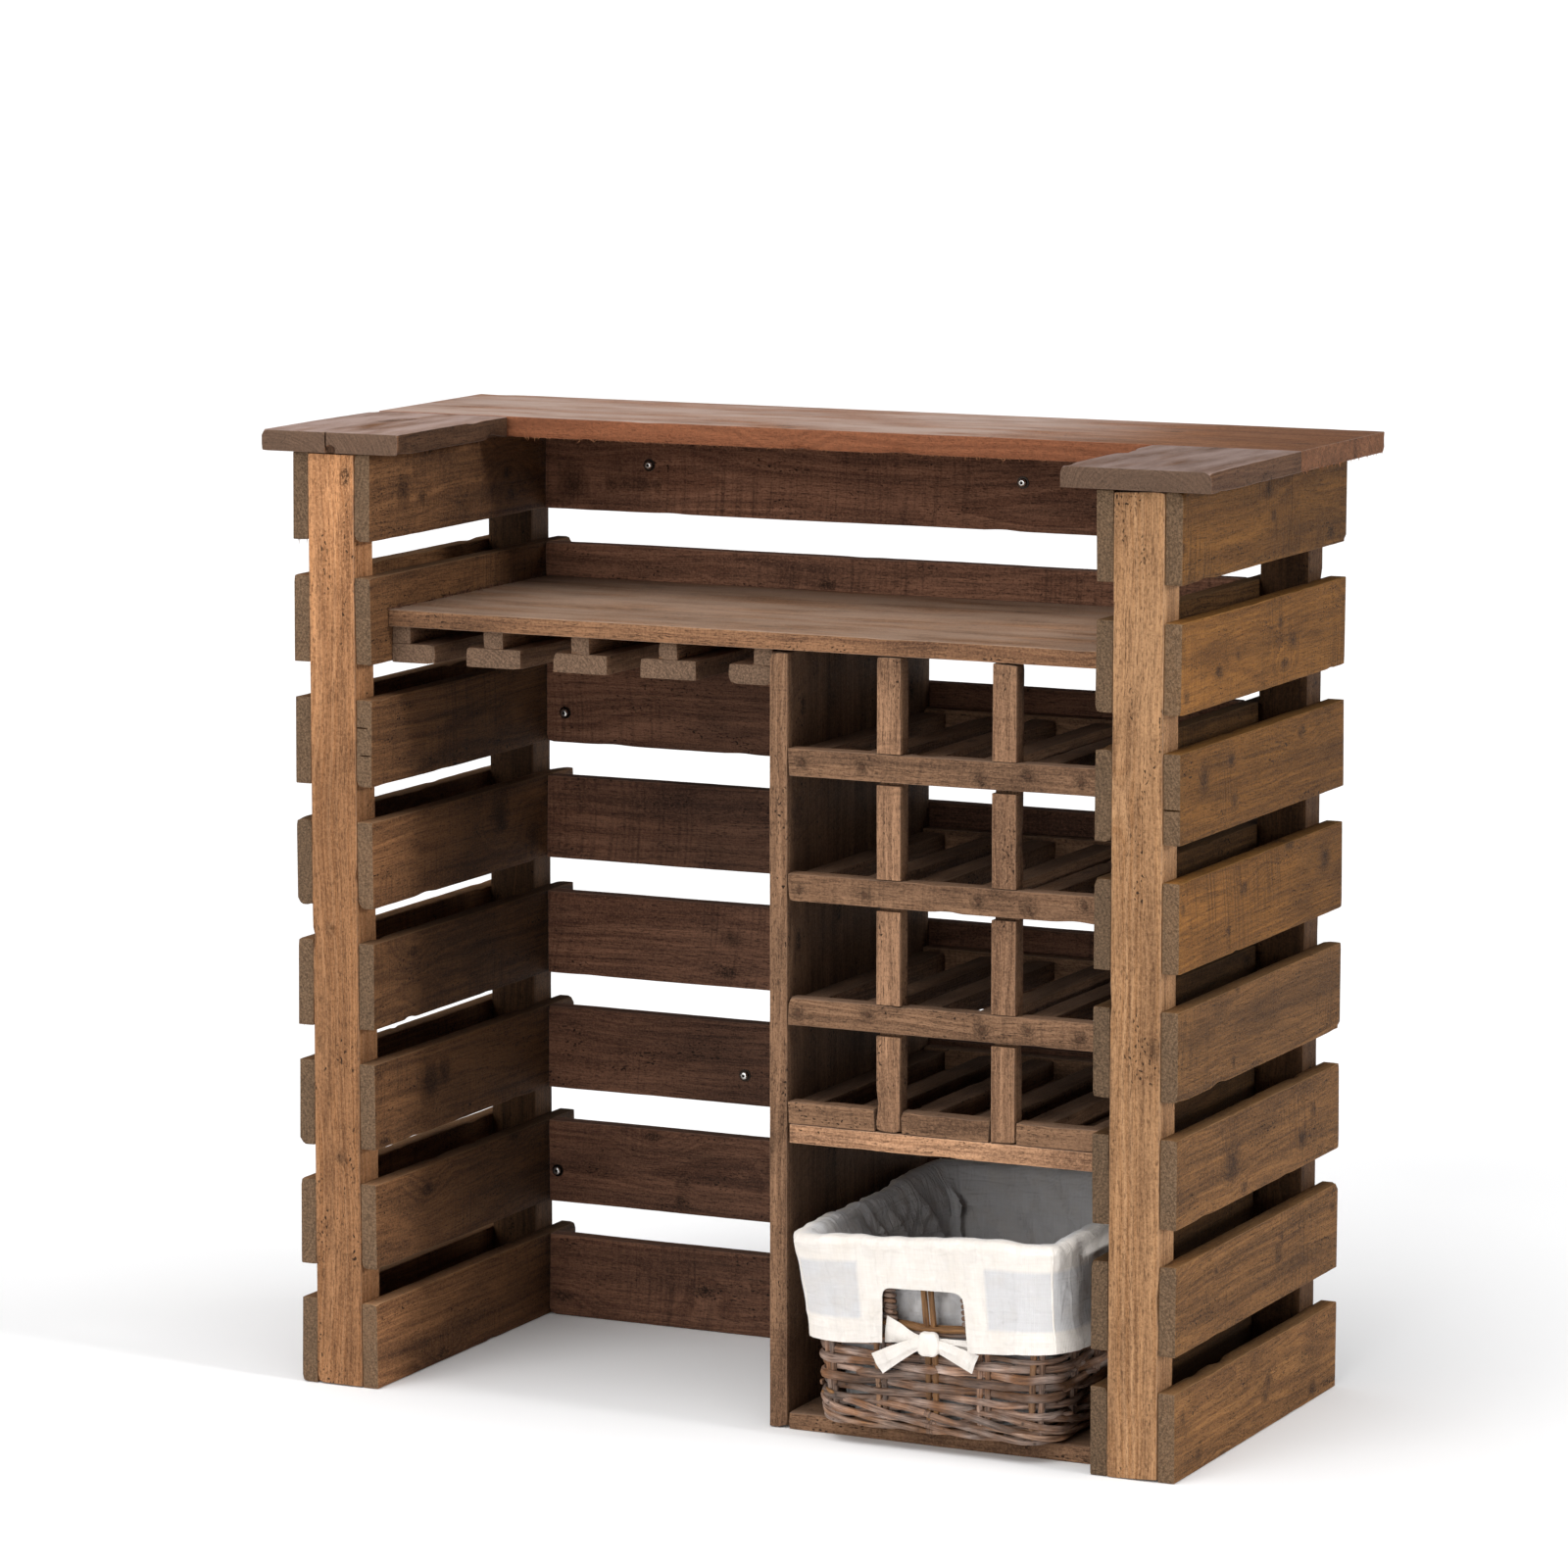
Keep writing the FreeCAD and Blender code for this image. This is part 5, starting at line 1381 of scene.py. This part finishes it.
def thicken(piece):
    """Gives a sheet the cloth's thickness, half to each side."""
    thickness = piece.modifiers.new("thickness", "SOLIDIFY")
    thickness.thickness = CLOTH_THICK
    thickness.offset = 0
    bpy.context.view_layer.objects.active = piece
    bpy.ops.object.modifier_apply(modifier=thickness.name)


cotton_cloth = cotton()
thicken(liner)
dress(liner, cotton_cloth, "basket", "liner_cotton", "basket_liner")

# Corner seams
# A stitched seam stands up along each corner of the cuff, where its panels meet.
# It is a thin welt of the same cotton, from the hem to the rim.
SEAM_WIDE = 0.0011
SEAM_DEEP = 0.0009
SEAM_OUT = 0.0007
seams = new_bundle()
for column in range(columns):
    if corner_near[0, column] > 0.999:
        out = facing[:rim_row + 1, column]
        line = grid[:rim_row + 1, column] + out * SEAM_OUT + basket_place
        lay_rod(seams, line, out, SEAM_WIDE, SEAM_DEEP, 1, sides=6)
corner_seams = bundle_mesh("liner_corner_seams", seams, "cloth", "layers")
move_points(corner_seams, slumped(points_of(corner_seams)))
dress(corner_seams, cotton_cloth, "basket", "liner_cotton")


# Bows
# Ribbon ties of the same cotton from both edges of each notch, knotted below the hand hole,
# with two loose tails. They are sewn to the cuff.
def on_end(x, height, out, end):
    """Points off the front or rear of the cuff: across, above the basket's foot, and out from the wall."""
    deep = basket_halves(height, 0)[1] + np.asarray(out)
    place = [np.asarray(x) * -end, end * deep, np.asarray(height)]
    return np.stack(place, axis=-1) + basket_place


def ribbon(bundle, stations, end, samples=26, strips=8):
    """A ribbon through stations of across, height, stand-off and width, with a soft cross curl."""
    stations = np.array(stations)
    at = np.linspace(0, len(stations) - 1, samples)
    x, height, out, width = (np.interp(at, range(len(stations)), stations[:, n]) for n in range(4))
    ease = np.ones(5) / 5
    for values in (x, height, out, width):
        values[2:-2] = np.convolve(values, ease, "valid")
    run = np.stack([np.gradient(x), np.gradient(height)], axis=1)
    run /= np.linalg.norm(run, axis=1)[:, None]
    across = np.linspace(-0.5, 0.5, strips)
    seed = len(bundle["points"]) * 5.3
    side_x = x[:, None] - run[:, 1:2] * width[:, None] * across
    side_height = height[:, None] + run[:, 0:1] * width[:, None] * across
    crease = ripple(np.repeat(at, strips) * 0.35 + seed, np.tile(across, samples) * 4)
    crease = crease.reshape(samples, strips)
    curl = 0.0010 * np.cos(across * math.pi * 2)[None, :] + 0.0010 * crease
    points = on_end(side_x, side_height, out[:, None] + curl, end)
    first = sum(len(p) for p in bundle["points"])
    bundle["points"].append(points.reshape(-1, 3))
    for row in range(samples - 1):
        for n in range(strips - 1):
            corner = first + row * strips + n
            bundle["faces"].append((corner, corner + 1, corner + strips + 1, corner + strips))
    length = np.concatenate([[0], np.cumsum(np.hypot(np.diff(x), np.diff(height)))])
    count = samples * strips
    place = [np.repeat(length, strips) + seed, (width[:, None] * across).ravel(), np.full(count, seed)]
    bundle["grain"].append(np.stack(place, axis=1))
    bundle["tone"].append(np.ones(count))


KNOT_PLACE = (0.0035, 0.0985, 0.0085)
KNOT_HALF = Vector((0.012, 0.006, 0.013))
KNOT_ROUND = 0.55
PLEAT = 0.0085
LUMP = 0.009
# Two ties and then two tails, each by its stations
RIBBONS = (
    ((-0.046, 0.1080, 0.0030, 0.028), (-0.034, 0.1065, 0.0050, 0.022),
     (-0.018, 0.1020, 0.0070, 0.014), (-0.004, 0.0990, 0.0060, 0.010)),
    ((0.047, 0.1000, 0.0030, 0.010), (0.034, 0.1005, 0.0048, 0.009),
     (0.018, 0.1000, 0.0066, 0.010), (0.004, 0.0990, 0.0060, 0.010)),
    ((-0.004, 0.0980, 0.0085, 0.010), (-0.016, 0.0945, 0.0095, 0.014),
     (-0.036, 0.0835, 0.0085, 0.019), (-0.055, 0.0720, 0.0070, 0.023)),
    ((0.006, 0.0980, 0.0085, 0.010), (0.018, 0.0960, 0.0098, 0.014),
     (0.036, 0.0890, 0.0088, 0.018), (0.053, 0.0820, 0.0074, 0.021)),
)
for name, end in (("front", -1), ("rear", 1)):
    strips = new_bundle()
    for stations in RIBBONS:
        ribbon(strips, stations, end)
    bow = bundle_mesh(f"{name}_liner_bow", strips, "cloth", "layers")
    thicken(bow)
    centre = Vector(on_end(*KNOT_PLACE, end))
    knot = block(f"{name}_liner_knot", centre - KNOT_HALF, centre + KNOT_HALF)
    bpy.ops.object.mode_set(mode="EDIT")
    bpy.ops.mesh.select_all(action="SELECT")
    bpy.ops.mesh.subdivide(number_cuts=3)
    bpy.ops.object.mode_set(mode="OBJECT")
    soft = knot.modifiers.new("soft", "SUBSURF")
    soft.levels = 2
    soft.render_levels = 2
    bpy.ops.object.modifier_apply(modifier=soft.name)
    offset = points_of(knot) - np.array(centre)
    ball = offset / np.linalg.norm(offset / np.array(KNOT_HALF), axis=1)[:, None]
    offset = (1 - KNOT_ROUND) * offset + KNOT_ROUND * ball
    pleats = np.cos((offset[:, 0] * 0.8 + offset[:, 2] * 0.35) / PLEAT * 2 * math.pi)
    lumps = ripple(offset[:, 0] / LUMP, offset[:, 1] / LUMP, offset[:, 2] / LUMP + end)
    offset *= (1 + 0.035 * pleats + 0.08 * lumps)[:, None]
    move_points(knot, offset + np.array(centre))
    mark(knot, "cloth", offset)
    mark(knot, "layers", np.ones(len(offset)))
    bow = joined(f"{name}_liner_bow", [bow, knot])
    dress(bow, cotton_cloth, "basket", "liner_cotton", "liner_bows")
